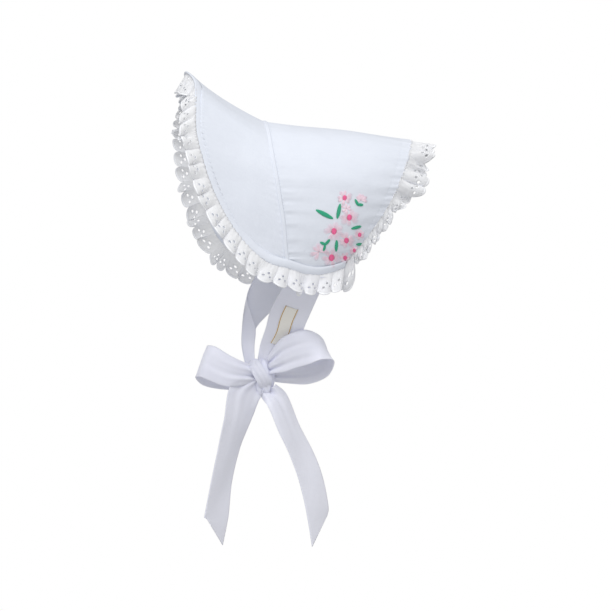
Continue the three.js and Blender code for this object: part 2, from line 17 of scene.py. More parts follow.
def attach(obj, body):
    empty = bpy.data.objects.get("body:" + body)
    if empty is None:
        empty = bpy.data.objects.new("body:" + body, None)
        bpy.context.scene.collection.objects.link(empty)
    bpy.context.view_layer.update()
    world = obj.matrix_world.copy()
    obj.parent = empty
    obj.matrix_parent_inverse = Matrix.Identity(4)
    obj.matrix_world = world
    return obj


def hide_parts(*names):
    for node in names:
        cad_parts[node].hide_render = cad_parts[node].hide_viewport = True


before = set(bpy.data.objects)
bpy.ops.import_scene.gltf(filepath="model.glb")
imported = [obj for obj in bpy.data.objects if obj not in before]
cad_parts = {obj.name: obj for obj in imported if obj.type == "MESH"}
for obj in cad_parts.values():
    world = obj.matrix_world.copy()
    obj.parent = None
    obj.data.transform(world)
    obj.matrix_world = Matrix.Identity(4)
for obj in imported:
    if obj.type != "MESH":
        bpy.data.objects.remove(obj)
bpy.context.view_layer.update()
MM = 0.001

# %% [markdown]
# The camera looks along +Y from slightly in front of the bonnet, level with its middle, through a long
# lens, because a product photograph of a soft thing is taken from far off. The picture is 615 by 611
# points and one point is 0.9 mm at the bonnet.

# %% Camera
MM_PER_POINT = 0.9
PICTURE_MIDDLE = (307.5, 305.5)
ORIGIN_POINT = (300, 128)
VIEW_AZIMUTH = math.radians(-6)
LENS_MM = 200
SENSOR_MM = 36
FAR_CLIP = 30
VIEW_RIGHT = Vector((math.cos(VIEW_AZIMUTH), math.sin(VIEW_AZIMUTH), 0))
VIEW_BACK = Vector((math.sin(VIEW_AZIMUTH), -math.cos(VIEW_AZIMUTH), 0))


def picture_place(across, down):
    """Where a point of the picture lies in the upright plane through the bonnet's origin."""
    right = (across - ORIGIN_POINT[0]) * MM_PER_POINT * MM
    drop = (down - ORIGIN_POINT[1]) * MM_PER_POINT * MM
    return VIEW_RIGHT * right - Vector((0, 0, drop))


camera_data = bpy.data.cameras.new("camera")
camera_data.lens = LENS_MM
camera_data.sensor_width = SENSOR_MM
camera_data.clip_end = FAR_CLIP
camera = bpy.data.objects.new("camera", camera_data)
bpy.context.collection.objects.link(camera)
distance = 2 * PICTURE_MIDDLE[0] * MM_PER_POINT * MM * LENS_MM / SENSOR_MM
camera.location = picture_place(*PICTURE_MIDDLE) + VIEW_BACK * distance
camera.rotation_euler = (math.radians(90), 0, VIEW_AZIMUTH)
bpy.context.scene.camera = camera
print("camera distance in metres:", round(distance, 3))

# %% [markdown]
# Soft light from all round keeps the cloth bright, and one large soft panel from the upper front gives
# its folds their shade. The pale floor is far below, because a head holds the bonnet up.

# %% Floor and light
FLOOR_Z = -0.62
FLOOR_RADIUS = 1.4
FLOOR_SIDES = 96
FILL_LIGHT = 0.51
KEY_PLACE = (-0.45, -2.05, 1.9)
KEY_TARGET = (0, 0, -0.12)
KEY_SIZE = 2.0
KEY_WATTS = 60


def principled(name, colour, roughness):
    """A new material with its Principled shader's colour and roughness set."""
    material = bpy.data.materials.new(name)
    material.use_nodes = True
    shader = material.node_tree.nodes["Principled BSDF"]
    shader.inputs["Base Color"].default_value = (*colour, 1)
    shader.inputs["Roughness"].default_value = roughness
    return material, shader


floor_mesh = bpy.data.meshes.new("floor")
floor_shape = bmesh.new()
bmesh.ops.create_circle(floor_shape, cap_ends=True, segments=FLOOR_SIDES, radius=FLOOR_RADIUS)
floor_shape.to_mesh(floor_mesh)
floor_shape.free()
floor = bpy.data.objects.new("floor", floor_mesh)
bpy.context.collection.objects.link(floor)
floor.location.z = FLOOR_Z
floor_finish, _ = principled("pale_floor", (0.7, 0.7, 0.7), 0.9)
floor_mesh.materials.append(floor_finish)

world = bpy.data.worlds.new("studio")
world.use_nodes = True
studio = world.node_tree
seen = studio.nodes.new("ShaderNodeLightPath")
strength = studio.nodes.new("ShaderNodeMapRange")
strength.inputs["To Min"].default_value = FILL_LIGHT
strength.inputs["To Max"].default_value = 1.0
studio.links.new(seen.outputs["Is Camera Ray"], strength.inputs["Value"])
studio.nodes["Background"].inputs["Color"].default_value = (1, 1, 1, 1)
studio.links.new(strength.outputs["Result"], studio.nodes["Background"].inputs["Strength"])
bpy.context.scene.world = world


def softbox(name, place, target, size, watts):
    """A square area lamp that faces a point."""
    lamp = bpy.data.lights.new(name, "AREA")
    lamp.size = size
    lamp.energy = watts
    holder = bpy.data.objects.new(name, lamp)
    bpy.context.collection.objects.link(holder)
    holder.location = place
    way = Vector(target) - Vector(place)
    holder.rotation_euler = way.to_track_quat("-Z", "Y").to_euler()


softbox("key_light", KEY_PLACE, KEY_TARGET, KEY_SIZE, KEY_WATTS)
bpy.context.scene.view_settings.view_transform = "Standard"

# %% [markdown]
# The bonnet's sizes. The crown runs from the front seam to the gathered back edge, and the brim flares
# from the seam to its bound edge. Each station is a point down one side of the arch, from the top to the
# neck edge, and its shares are of the sizes above it.

# %% Sizes in millimetres
CROWN_DEPTH = 134
CROWN_HEIGHT = 133
CROWN_HALF_WIDTH = 67
BACK_HALF_WIDTH = 46
CROWN_BULGE = 6
NECK_DIP = 6
SEAM_TOP_X = -32.6
SEAM_TOP_Z = 5.6
BRIM_REACH = 72
BRIM_RISE = 45
BRIM_FLARE = 13
BRIM_HOLLOW = 3
CROWN_WALL = 1.4
BRIM_WALL = 2.2
PIPING_WIDTH = 3.4
SEAM_GAP = 0.3
BINDING_WIDTH = 8
BINDING_HEIGHT = 3.2

# seam and rear: back, out and down; brim: forward, flare and rise; drift: the far side's extra reach;
# bulge: the crown's outward swell
Station = namedtuple("Station", "seam rear brim drift bulge")
STATIONS = [Station(*row) for row in (
    ((0.000, 0.000, 0.000), (1.000, 0.000, 0.123), (0.980, 0.000, 1.000), 0.00, 0.20),
    ((0.003, 0.507, 0.070), (0.982, 0.435, 0.161), (0.976, 0.460, 0.933), -0.04, 0.45),
    ((0.013, 0.836, 0.223), (0.947, 0.740, 0.259), (0.982, 0.460, 0.889), -0.10, 0.80),
    ((0.034, 0.970, 0.371), (0.896, 0.913, 0.386), (1.000, 0.690, 0.844), -0.12, 1.00),
    ((0.054, 1.000, 0.507), (0.844, 0.950, 0.507), (0.960, 0.920, 0.667), -0.08, 1.00),
    ((0.082, 0.985, 0.680), (0.758, 0.920, 0.657), (0.867, 1.000, 0.511), -0.03, 1.00),
    ((0.101, 0.925, 0.868), (0.628, 0.840, 0.838), (0.600, 0.850, 0.267), 0.08, 0.85),
    ((0.113, 0.896, 0.943), (0.557, 0.770, 0.920), (0.257, 0.385, -0.033), 0.06, 0.60),
    ((0.123, 0.866, 1.000), (0.513, 0.710, 0.988), (0.000, 0.000, 0.000), 0.00, 0.20),
)]

# The near side's hem is drawn back a little beside the top corner
NEAR_TUCK = {1: -0.07, 2: -0.03}

# The lace's way off the edge at each station: forward, out and up
BRIM_LACE = [
    (0.38, 0.00, -0.92), (0.54, 0.32, -0.76), (0.76, 0.52, -0.38),
    (0.76, 0.62, -0.18), (0.76, 0.62, -0.18), (0.74, 0.58, -0.33),
    (0.52, 0.52, -0.68), (0.36, 0.42, -0.83), (0.18, 0.30, -0.94),
]
FAR_BRIM_LACE = [
    (0.38, 0.00, -0.92), (0.26, 0.42, -0.76), (0.74, 0.42, -0.38),
    (0.92, 0.30, -0.10), (0.94, 0.28, -0.10), (0.93, 0.28, -0.22),
    (0.80, 0.32, -0.52), (0.56, 0.34, -0.74), (0.26, 0.30, -0.92),
]
NECK_LACE = (0.00, 0.26, -0.96)
REAR_LACE = [
    (-0.95, 0.00, -0.33), (-0.95, 0.04, -0.34), (-0.94, -0.20, -0.26),
    (-0.90, -0.30, -0.32), (-0.84, -0.38, -0.40), (-0.77, -0.36, -0.54),
    (-0.70, -0.28, -0.66), (-0.60, -0.28, -0.75), (-0.02, -0.36, -0.93),
]
print("stations down each side:", len(STATIONS))

# %% [markdown]
# Cloth edges are smooth curves through a few points. A Catmull-Rom spline passes through every point, so
# a table of points read off the photograph stays easy to adjust. The curve works on whole arrays of
# positions at once, because a fine sheet of cloth has tens of thousands of them.

# %% Smooth curves
def smooth(low, high, value):
    """0 below low, 1 above high and a soft step in between."""
    t = np.clip((np.asarray(value, float) - low) / (high - low), 0, 1)
    return t * t * (3 - 2 * t)


def unit(vectors):
    """The same directions at length one."""
    length = np.linalg.norm(vectors, axis=-1, keepdims=True)
    return vectors / np.maximum(length, 1e-9)


LENGTH_STEPS = 801
TANGENT_STEP = 1e-3


class Curve:
    """A Catmull-Rom spline through points; centripetal spacing keeps uneven points free of loops."""

    def __init__(self, points, centripetal=True):
        self.points = np.array(points, float)
        first = 2 * self.points[0] - self.points[1]
        last = 2 * self.points[-1] - self.points[-2]
        self.padded = np.vstack([first, self.points, last])
        self.centripetal = centripetal
        self.steps = None

    def at(self, t):
        t = np.clip(np.asarray(t, float), 0, 1)
        spans = len(self.points) - 1
        place = t * spans
        index = np.clip(np.floor(place).astype(int), 0, spans - 1)
        w = (place - index)[..., None]
        p0, p1, p2, p3 = (self.padded[index + k] for k in range(4))
        if self.centripetal:
            d0, d1, d2 = (self._spread(a, b) for a, b in ((p0, p1), (p1, p2), (p2, p3)))
            d1 = np.where(d1 < 1e-4, 1.0, d1)
            d0 = np.where(d0 < 1e-4, d1, d0)
            d2 = np.where(d2 < 1e-4, d1, d2)
            t1 = ((p1 - p0) / d0 - (p2 - p0) / (d0 + d1) + (p2 - p1) / d1) * d1
            t2 = ((p2 - p1) / d1 - (p3 - p1) / (d1 + d2) + (p3 - p2) / d2) * d1
        else:
            t1 = (p2 - p0) / 2
            t2 = (p3 - p1) / 2
        c2 = -3 * p1 + 3 * p2 - 2 * t1 - t2
        c3 = 2 * p1 - 2 * p2 + t1 + t2
        return p1 + t1 * w + c2 * w**2 + c3 * w**3

    @staticmethod
    def _spread(a, b):
        return np.sum((a - b) ** 2, axis=-1, keepdims=True) ** 0.25

    def tangent(self, t):
        t = np.asarray(t, float)
        after = self.at(np.clip(t + TANGENT_STEP, 0, 1))
        return unit(after - self.at(np.clip(t - TANGENT_STEP, 0, 1)))

    def by_length(self, u):
        """The curve's own parameter at a share u of its length."""
        if self.steps is None:
            t = np.linspace(0, 1, LENGTH_STEPS)
            run = np.linalg.norm(np.diff(self.at(t), axis=0), axis=1)
            self.steps = t, np.concatenate([[0], np.cumsum(run)])
        t, run = self.steps
        return np.interp(np.asarray(u) * run[-1], run, t)

    def length(self):
        self.by_length(0)
        return self.steps[1][-1]


def both_sides(value_at):
    """One side's station values, from the near neck edge over the top to the far neck edge."""
    last = len(STATIONS) - 1
    near = [value_at(i, -1) for i in range(last, 0, -1)]
    far = [value_at(i, 1) for i in range(last + 1)]
    return near + far


def crown_point(share, half_width, side):
    """A station's point on the crown's front or rear edge."""
    back, out, down = share
    return (SEAM_TOP_X + back * CROWN_DEPTH, side * out * half_width, SEAM_TOP_Z - down * CROWN_HEIGHT)


def brim_point(i, side):
    """A station's point on the brim's outer edge."""
    row = STATIONS[i]
    x, y, z = crown_point(row.seam, CROWN_HALF_WIDTH, side)
    forward, flare, rise = row.brim
    drift = row.drift if side > 0 else NEAR_TUCK.get(i, 0)
    return (x - (forward + drift) * BRIM_REACH, y + side * flare * BRIM_FLARE, z + rise * BRIM_RISE)


seam_rail = Curve(both_sides(lambda i, side: crown_point(STATIONS[i].seam, CROWN_HALF_WIDTH, side)), False)
rear_rail = Curve(both_sides(lambda i, side: crown_point(STATIONS[i].rear, BACK_HALF_WIDTH, side)), False)
brim_rail = Curve(both_sides(brim_point), False)
bulge_rail = Curve(both_sides(lambda i, side: (STATIONS[i].bulge * CROWN_BULGE, 0, 0)), False)
print("seam length in mm:", round(seam_rail.length()), "brim edge:", round(brim_rail.length()))

# %% [markdown]
# The crown and the brim are each one sheet between two of these curves. Real cotton is never quite
# smooth: it puckers beside a seam, gathers where a casing draws it in and falls in soft broad folds. These
# are real moves of the mesh, a few tenths of a millimetre to a millimetre, so they also show in the shape.

# %% Cloth surfaces
FOLD_WAVES = np.random.default_rng(11).uniform(-1, 1, (7, 4))
PUCKERS = 58
BROAD_PUCKERS = 27
FINE_PUCKER = 0.8
BROAD_PUCKER = 1.2
GATHERS = 58
FINE_GATHER = 0.26
BROAD_GATHER = 0.4
CASING = 0.93
CASING_GROOVE = 0.25
CROWN_FOLD = 0.75
BRIM_FOLD = 0.7
HEM_WAVES = 92
HEM_WAVE = 0.34
CREASE_AT_SIDE = 0.19
CREASE_RIDGE = 1.6
CREASE_HOLLOW = 1.5


def outward(points):
    """Out of the head: sideways below the widest level, round the top above it."""
    level = SEAM_TOP_Z - CROWN_HALF_WIDTH
    up = np.maximum(0, points[..., 2] - level)
    return unit(np.stack([np.zeros_like(up), points[..., 1], up], axis=-1))


def soft_folds(s, t):
    """A sum of a few slow waves, different on each side."""
    total = np.zeros_like(s)
    for k, (a, b, height, phase) in enumerate(FOLD_WAVES):
        turns = (5 + 3 * k + 2 * a) * s + (2 + k * b) * t
        total += height * np.sin(math.pi * turns + 6 * phase) / (1 + k * 0.5)
    return total


def uneven(count, s):
    """Waves of about one length that drift in and out of step, as hand-drawn gathers do."""
    drift = 0.004 * np.sin(9 * s * math.pi + 1) + 0.0021 * np.sin(31 * s)
    return np.sin(2 * math.pi * count * (s + drift))


def crown_form(s, t):
    """The crown's plain form; s runs round the arch and t from the seam to the back."""
    seam = seam_rail.at(s)
    rear = rear_rail.at(s)
    swell = np.sin(math.pi * t ** 1.35)[..., None]
    point = seam * (1 - t)[..., None] + rear * t[..., None]
    point = point + outward(seam) * swell * bulge_rail.at(s)[..., :1]
    point[..., 2] -= NECK_DIP * np.sin(math.pi * t) * smooth(0.8, 1, np.abs(2 * s - 1))
    return point


def crown_cloth(s, t):
    """The crown with its puckers at the seam, its gathers at the casing and its soft folds."""
    point = crown_form(s, t)
    low = 0.25 + 1.05 * smooth(0.35, 0.95, np.abs(2 * s - 1))
    fine = FINE_PUCKER * uneven(PUCKERS, s) * np.exp(-t / 0.08)
    broad = BROAD_PUCKER * uneven(BROAD_PUCKERS, s + 0.01 + 0.03 * t) * np.exp(-t / 0.17)
    pucker = (fine + broad) * low * smooth(0.005, 0.06, t) * (0.65 + 0.35 * np.sin(23 * s + 2))
    gather = FINE_GATHER * uneven(GATHERS, s) * smooth(0.86, 0.97, t)
    gather = gather + BROAD_GATHER * uneven(GATHERS / 2.6, s) * smooth(0.62, 0.98, t)
    groove = CASING_GROOVE * np.exp(-((t - CASING) / 0.008) ** 2)
    folds = CROWN_FOLD * soft_folds(s, t) * np.sin(math.pi * np.clip(t, 0, 1))
    return point + outward(point) * (pucker + gather - groove + folds)[..., None]


def brim_form(s, t):
    """The brim's plain form; t runs from the seam to the bound edge."""
    seam = seam_rail.at(s)
    edge = brim_rail.at(s)
    reach = np.linalg.norm(seam - edge, axis=-1) / BRIM_REACH
    point = seam * (1 - t)[..., None] + edge * t[..., None]
    return point - outward(seam) * (BRIM_HOLLOW * reach * np.sin(math.pi * t))[..., None]


def brim_cloth(s, t):
    """The brim with its puckers at the seam, its wavy hem, its folds and the crease down each side."""
    point = brim_form(s, t)
    pucker = 0.35 * uneven(PUCKERS, s) * np.exp(-t / 0.05) * smooth(0.01, 0.05, t)
    hem = HEM_WAVE * uneven(HEM_WAVES, s) * smooth(0.80, 0.92, t)
    folds = BRIM_FOLD * soft_folds(s + 0.13, t * 0.7) * np.sin(math.pi * np.clip(t, 0, 1))
    beyond = np.abs(2 * s - 1) - CREASE_AT_SIDE
    ridge = CREASE_RIDGE * np.exp(-np.abs(beyond) / 0.05)
    ridge = ridge - CREASE_HOLLOW * np.exp(-((beyond + 0.09) / 0.05) ** 2)
    ridge = ridge * np.sin(math.pi * t) ** 0.6
    return point + outward(point) * (pucker + hem + folds + ridge)[..., None]


# %% [markdown]
# Every sheet starts as a flat grid made by an operator, and its points are then carried to their place
# on the cloth. The flat places are kept as the UV map, in metres, so that the weave has its true size
# and follows the cloth round every fold. Solidify gives the sheet its wall.

# %% Grid helper
def smooth_piece(name, shape):
    """Turns a finished bmesh into a smooth-shaded object."""
    for face in shape.faces:
        face.smooth = True
    mesh = bpy.data.meshes.new(name)
    shape.to_mesh(mesh)
    shape.free()
    piece = bpy.data.objects.new(name, mesh)
    bpy.context.collection.objects.link(piece)
    return piece


def grid_shape(columns, rows):
    """A flat grid and the places of its points, both running from 0 to 1."""
    shape = bmesh.new()
    bmesh.ops.create_grid(shape, x_segments=columns, y_segments=rows, size=0.5)
    return shape, np.array([v.co[:2] for v in shape.verts]) + 0.5


def keep_cloth_map(shape, flat):
    """Keeps the flat places, in metres, as the cloth's UV map."""
    layer = shape.loops.layers.uv.new("cloth")
    shape.verts.index_update()
    for face in shape.faces:
        for loop in face.loops:
            loop[layer].uv = flat[loop.vert.index]


def move_points(shape, points):
    """Sets every point of a shape to its place, given in mm."""
    for vert, point in zip(shape.verts, points * MM):
        vert.co = point


def give_wall(piece, wall, offset):
    """Gives a sheet its thickness in mm."""
    solid = piece.modifiers.new("wall", "SOLIDIFY")
    solid.thickness = wall * MM
    solid.offset = offset


def carry_grid(name, size, place, cloth_size, wall, offset=-1, flip=False):
    """A sheet of cloth. place maps arrays u, v (0 to 1) to points in mm; cloth_size is in mm."""
    shape, flat = grid_shape(*size)
    keep_cloth_map(shape, flat * np.array(cloth_size) * MM)
    move_points(shape, place(flat[:, 0], flat[:, 1]))
    if flip:
        bmesh.ops.reverse_faces(shape, faces=shape.faces[:])
    piece = smooth_piece(name, shape)
    give_wall(piece, wall, offset)
    return piece


def finish_piece(piece, material, slot_name, *nodes):
    """Gives a piece its material and its place in the model."""
    piece.data.materials.append(material)
    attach(piece, "root")
    if nodes:
        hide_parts(*nodes)


# %% [markdown]
# Cotton lawn is a plain weave so fine that it reads as a soft, faintly ribbed surface. The weave group
# draws crossed threads from the cloth's own UV map, with slubs from a stretched noise, and gives out a
# height for the bump and a colour mask. The same group serves the lace ground, the ribbon and the label.

# %% Weave node group
def new_group(name, inputs, outputs):
    """A node group with its named inputs and outputs, and the nodes that stand for them."""
    group = bpy.data.node_groups.new(name, "ShaderNodeTree")
    for label, kind, default in inputs:
        socket = group.interface.new_socket(label, in_out="INPUT", socket_type=kind)
        if default is not None:
            socket.default_value = default
    for label in outputs:
        group.interface.new_socket(label, in_out="OUTPUT", socket_type="NodeSocketFloat")
    return group, group.nodes.new("NodeGroupInput"), group.nodes.new("NodeGroupOutput")


def feed(tree, socket, value):
    """Links a socket to another socket, or sets its value."""
    if hasattr(value, "is_output"):
        tree.links.new(value, socket)
    else:
        socket.default_value = value


def add_node(tree, kind, **inputs):
    """A node with its named inputs fed."""
    node = tree.nodes.new("ShaderNode" + kind)
    for label, value in inputs.items():
        feed(tree, node.inputs[label], value)
    return node


def math_node(tree, operation, *values):
    """A Math node whose inputs are sockets or numbers."""
    node = add_node(tree, "Math")
    node.operation = operation
    for socket, value in zip(node.inputs, values):
        feed(tree, socket, value)
    return node.outputs[0]


def colour_mix(tree, share, first, second):
    """A colour between two colours."""
    node = add_node(tree, "Mix")
    node.data_type = "RGBA"
    for place, value in ((0, share), (6, first), (7, second)):
        feed(tree, node.inputs[place], value)
    return node.outputs[2]


def cloth_uv(tree):
    """The cloth's own map, which every sheet carries."""
    node = add_node(tree, "UVMap")
    node.uv_map = "cloth"
    return node.outputs[0]


weave_group, weave_in, weave_out = new_group(
    "thread_weave",
    [("Cloth", "NodeSocketVector", None), ("Threads per metre", "NodeSocketFloat", 2200.0),
     ("Slub", "NodeSocketFloat", 0.5)],
    ["Height", "Shade"],
)
tree = weave_group
split = add_node(tree, "SeparateXYZ", Vector=weave_in.outputs["Cloth"])
turns = math_node(tree, "MULTIPLY", weave_in.outputs["Threads per metre"], math.pi)
warp = math_node(tree, "SINE", math_node(tree, "MULTIPLY", split.outputs["X"], turns))
weft = math_node(tree, "SINE", math_node(tree, "MULTIPLY", split.outputs["Y"], turns))
crossing = math_node(tree, "MULTIPLY", warp, weft)
slub_map = add_node(tree, "Mapping", Vector=weave_in.outputs["Cloth"], Scale=(900, 60, 1))
slubs = add_node(tree, "TexNoise", Vector=slub_map.outputs[0], Scale=1.0, Detail=2.0)
slub_part = math_node(tree, "MULTIPLY", slubs.outputs["Fac"], weave_in.outputs["Slub"])
height = math_node(tree, "ADD", math_node(tree, "MULTIPLY", crossing, 0.5), slub_part)
tree.links.new(height, weave_out.inputs["Height"])
tree.links.new(slubs.outputs["Fac"], weave_out.inputs["Shade"])

# %% [markdown]
# Crumple is the slow unevenness of cloth that has been washed and pressed. It is a group of its own
# because every cloth here has it, at its own size and depth.

# %% Crumple node group
crumple_group, crumple_in, crumple_out = new_group(
    "cloth_crumple",
    [("Cloth", "NodeSocketVector", None), ("Size", "NodeSocketFloat", 90.0)],
    ["Height", "Mask"],
)
tree = crumple_group
broad = add_node(
    tree, "TexNoise", Vector=crumple_in.outputs["Cloth"], Scale=crumple_in.outputs["Size"],
    Detail=3.0, Roughness=0.45, Distortion=0.6
)
for label in ("Height", "Mask"):
    tree.links.new(broad.outputs["Fac"], crumple_out.inputs[label])

# %% [markdown]
# Five cloths use those groups. The crown's cotton has a faint blue cast and is matt, the lace ground and
# its raised thread are whiter, the ribbon is smoother and shows lavender, and the label is a cream weave.
# The lace and the ribbon are thin enough for light to pass into them, which softens their folds.

# %% Cloth materials
WEAVE_HEIGHT = 0.0002
CRUMPLE_HEIGHT = 0.002
LIGHT_DEPTH = 0.005


def cloth_material(name, light, shade, roughness, threads, weave_depth, crumple_depth, crumple_size, sheen,
                   thinness=0.0):
    """A woven cloth: weave and crumple feed one bump, and their masks vary the colour."""
    material, shader = principled(name, light, roughness)
    shader.inputs["Subsurface Weight"].default_value = thinness
    shader.inputs["Subsurface Radius"].default_value = (1, 1, 1)
    shader.inputs["Subsurface Scale"].default_value = LIGHT_DEPTH
    shader.inputs["Sheen Weight"].default_value = sheen
    shader.inputs["Specular IOR Level"].default_value = 0.3
    tree = material.node_tree
    cloth = cloth_uv(tree)
    weave = add_node(tree, "Group")
    weave.node_tree = weave_group
    crumple = add_node(tree, "Group")
    crumple.node_tree = crumple_group
    feed(tree, weave.inputs["Cloth"], cloth)
    feed(tree, weave.inputs["Threads per metre"], threads)
    feed(tree, crumple.inputs["Cloth"], cloth)
    feed(tree, crumple.inputs["Size"], crumple_size)
    both = math_node(tree, "MULTIPLY", weave.outputs["Shade"], crumple.outputs["Mask"])
    feed(tree, shader.inputs["Base Color"], colour_mix(tree, both, (*light, 1), (*shade, 1)))
    fine = add_node(tree, "Bump", Strength=weave_depth, Distance=WEAVE_HEIGHT, Height=weave.outputs["Height"])
    broad = add_node(
        tree, "Bump", Strength=crumple_depth, Distance=CRUMPLE_HEIGHT, Height=crumple.outputs["Height"],
        Normal=fine.outputs["Normal"]
    )
    feed(tree, shader.inputs["Normal"], broad.outputs["Normal"])
    return material


# light and shade, roughness, threads per metre, weave depth, crumple depth and size, sheen, thinness
cotton = cloth_material(
    "cotton_lawn", (0.765, 0.80, 0.875), (0.71, 0.745, 0.825), 0.85, 2400, 0.35, 0.25, 70, 0.1
)
lace_cotton = cloth_material(
    "lace_ground", (0.93, 0.94, 0.975), (0.87, 0.88, 0.92), 0.9, 1800, 0.5, 0.2, 120, 0.05, 0.6
)
ribbon_cloth = cloth_material(
    "ribbon_cloth", (0.82, 0.835, 0.975), (0.77, 0.785, 0.935), 0.62, 2600, 0.3, 0.2, 60, 0.2, 0.5
)
lace_thread = cloth_material(
    "lace_thread", (0.92, 0.93, 0.96), (0.86, 0.87, 0.90), 0.8, 3000, 0.3, 0.1, 300, 0.05
)
label_cloth = cloth_material(
    "label_weave", (0.88, 0.86, 0.80), (0.80, 0.78, 0.72), 0.6, 1600, 0.6, 0.1, 60, 0.1
)


# %% [markdown]
# The crown and the brim are fine grids over their sheets. They meet under the piping, and their other
# edges end inside the binding, as sewn cloth does. Only the crown's back edge is left open to the lace.

# %% Crown and brim
CROWN_GRID = (300, 110)
BRIM_GRID = (280, 70)
HEM_TUCK = BINDING_WIDTH - 1.5
BRIM_SIDE_INSET = 0.035
crown_girth = seam_rail.length()
brim_depth = float(np.linalg.norm(seam_rail.at(0.5) - brim_rail.at(0.5)))
neck_inset = HEM_TUCK / crown_girth
piping_inset = SEAM_GAP / CROWN_DEPTH


def place_crown(u, v):
    s = neck_inset + (1 - 2 * neck_inset) * u
    t = piping_inset + (1 - piping_inset) * v
    return crown_cloth(s, t)


def place_brim(u, v):
    s = BRIM_SIDE_INSET + (1 - 2 * BRIM_SIDE_INSET) * u
    depth = np.linalg.norm(seam_rail.at(s) - brim_rail.at(s), axis=-1)
    start = SEAM_GAP / depth
    end = 1 - HEM_TUCK / depth
    return brim_cloth(s, start + np.maximum(end - start, 0.01) * v)


crown = carry_grid("crown_cloth", CROWN_GRID, place_crown, (crown_girth, CROWN_DEPTH), CROWN_WALL, flip=True)
finish_piece(crown, cotton, "cotton", "crown")
brim = carry_grid("brim_cloth", BRIM_GRID, place_brim, (brim_rail.length(), brim_depth), BRIM_WALL)
finish_piece(brim, cotton, "cotton", "brim")
print("crown girth in mm:", round(crown_girth), "brim depth:", round(brim_depth))

# %% [markdown]
# The binding is a strip of the same cotton folded over the raw edge: along the brim from one neck corner
# over the top to the other, and along the neck. Its section is a flattened U, so it is one more sheet,
# swept along the edge and given a thin wall. Its frame at each place is the way along the edge, the way
# into the cloth and the way out of the head.

# %% Edge path
EDGE_STEP = 0.04
NECK_STATIONS = [1, 0.75, 0.5, 0.25]
LAST_STATION = 2 * (len(STATIONS) - 1)


def spot(surface, s, t):
    """One point of a surface."""
    return surface(np.array([float(s)]), np.array([float(t)]))[0]


def edge_rows():
    """The edge's points and its side vectors, from the near neck edge round the brim to the far one."""
    # share round the arch, surface and share across it: of a point on the edge, then of one inside it
    rows = [(0, crown_form, t, EDGE_STEP, crown_form, t) for t in NECK_STATIONS]
    for i in range(LAST_STATION + 1):
        s = i / LAST_STATION
        if i in (0, LAST_STATION):
            rows.append((s, brim_form, 1, EDGE_STEP if i == 0 else 1 - EDGE_STEP, crown_form, 0.02))
        else:
            rows.append((s, brim_form, 1, s, brim_form, 1 - EDGE_STEP))
    rows += [(1, crown_form, t, 1 - EDGE_STEP, crown_form, t) for t in reversed(NECK_STATIONS)]
    at = [spot(form, s, t) for s, form, t, *_ in rows]
    side = [unit(spot(form, s, t) - point) for point, (*_, s, form, t) in zip(at, rows)]
    return at, side


edge_points, edge_sides = edge_rows()
edge_curve = Curve(edge_points)
side_curve = Curve(edge_sides)


def edge_frame(u):
    """Point, into the cloth and out of the head, at shares u of the edge's length."""
    t = edge_curve.by_length(u)
    along = edge_curve.tangent(t)
    side = side_curve.at(t)
    side = unit(side - along * np.sum(side * along, axis=-1, keepdims=True))
    return edge_curve.at(t), side, -np.cross(along, side)


print("bound edge in mm:", round(edge_curve.length()))

# %% [markdown]
# The binding's section is half a turn with pressed sides: broad and low round the brim, rounder along the
# neck. The piping is a low welt with a fine dent along its middle, which covers the seam of crown and brim.

# %% Binding and piping
BINDING_GRID = (420, 18)
PIPING_GRID = (260, 14)
FOLD_WALL = 0.7
WELT_WALL = 0.5
WELT_HEIGHT = 1.35
WELT_SEAT = 0.45
WELT_CLOTH = 5


def place_binding(u, v):
    at, side, up = edge_frame(u)
    turn = math.pi * v
    nose = np.sin(turn)[:, None]
    pressed = np.cos(turn)[:, None]
    neck = smooth(0.27, 0.40, np.abs(u - 0.5))[:, None]
    swell = BINDING_HEIGHT / 2 * (0.7 + 0.5 * neck)
    sunk = 0.9 * (1 - neck)
    height = swell * np.sign(pressed) * np.abs(pressed) ** (0.35 + 0.3 * neck)
    tuck = 1 - 0.35 * smooth(0.75, 1, np.abs(2 * v - 1))[:, None]
    wrinkle = 0.12 * np.sin(u * 510 + 5 * np.sin(u * 40))[:, None] * nose
    inward = BINDING_WIDTH * (1 - nose ** 0.7)
    return at + side * (inward + wrinkle) + up * (height * tuck - sunk)


binding = carry_grid(
    "edge_fold", BINDING_GRID, place_binding, (edge_curve.length(), 2 * BINDING_WIDTH), FOLD_WALL
)
finish_piece(binding, cotton, "cotton", "edge_binding")


def place_piping(u, v):
    at = seam_rail.at(u)
    along = seam_rail.tangent(u)
    up = outward(at)
    up = unit(up - along * np.sum(up * along, axis=-1, keepdims=True))
    side = np.cross(up, along)
    across = (v - 0.5)[:, None] * PIPING_WIDTH * 1.15
    welt = WELT_HEIGHT * (1 - np.abs(2 * v - 1) ** 5)[:, None]
    dent = 1 - 0.12 * np.exp(-((v - 0.5) / 0.06) ** 2)[:, None]
    inset = 1 - 0.4 * smooth(0.975, 1, np.abs(2 * u - 1))[:, None]
    return at + side * across * inset + up * (welt * dent - WELT_SEAT)


piping = carry_grid("seam_welt", PIPING_GRID, place_piping, (crown_girth, WELT_CLOTH), WELT_WALL)
finish_piece(piping, cotton, "cotton", "seam_piping")

# %% [markdown]
# Eyelet lace comes as a flat strip: every repeat has one rounded scallop with a corded edge and three
# sewn holes. One repeat is made flat, with its holes cut and its edge rounded, and is then repeated along
# the strip. The whole strip is carried to the bonnet's edge in gathered panels, which bulge outwards and
# crease where they meet. Each panel has its own size of bulge, as gathers sewn by hand never match.

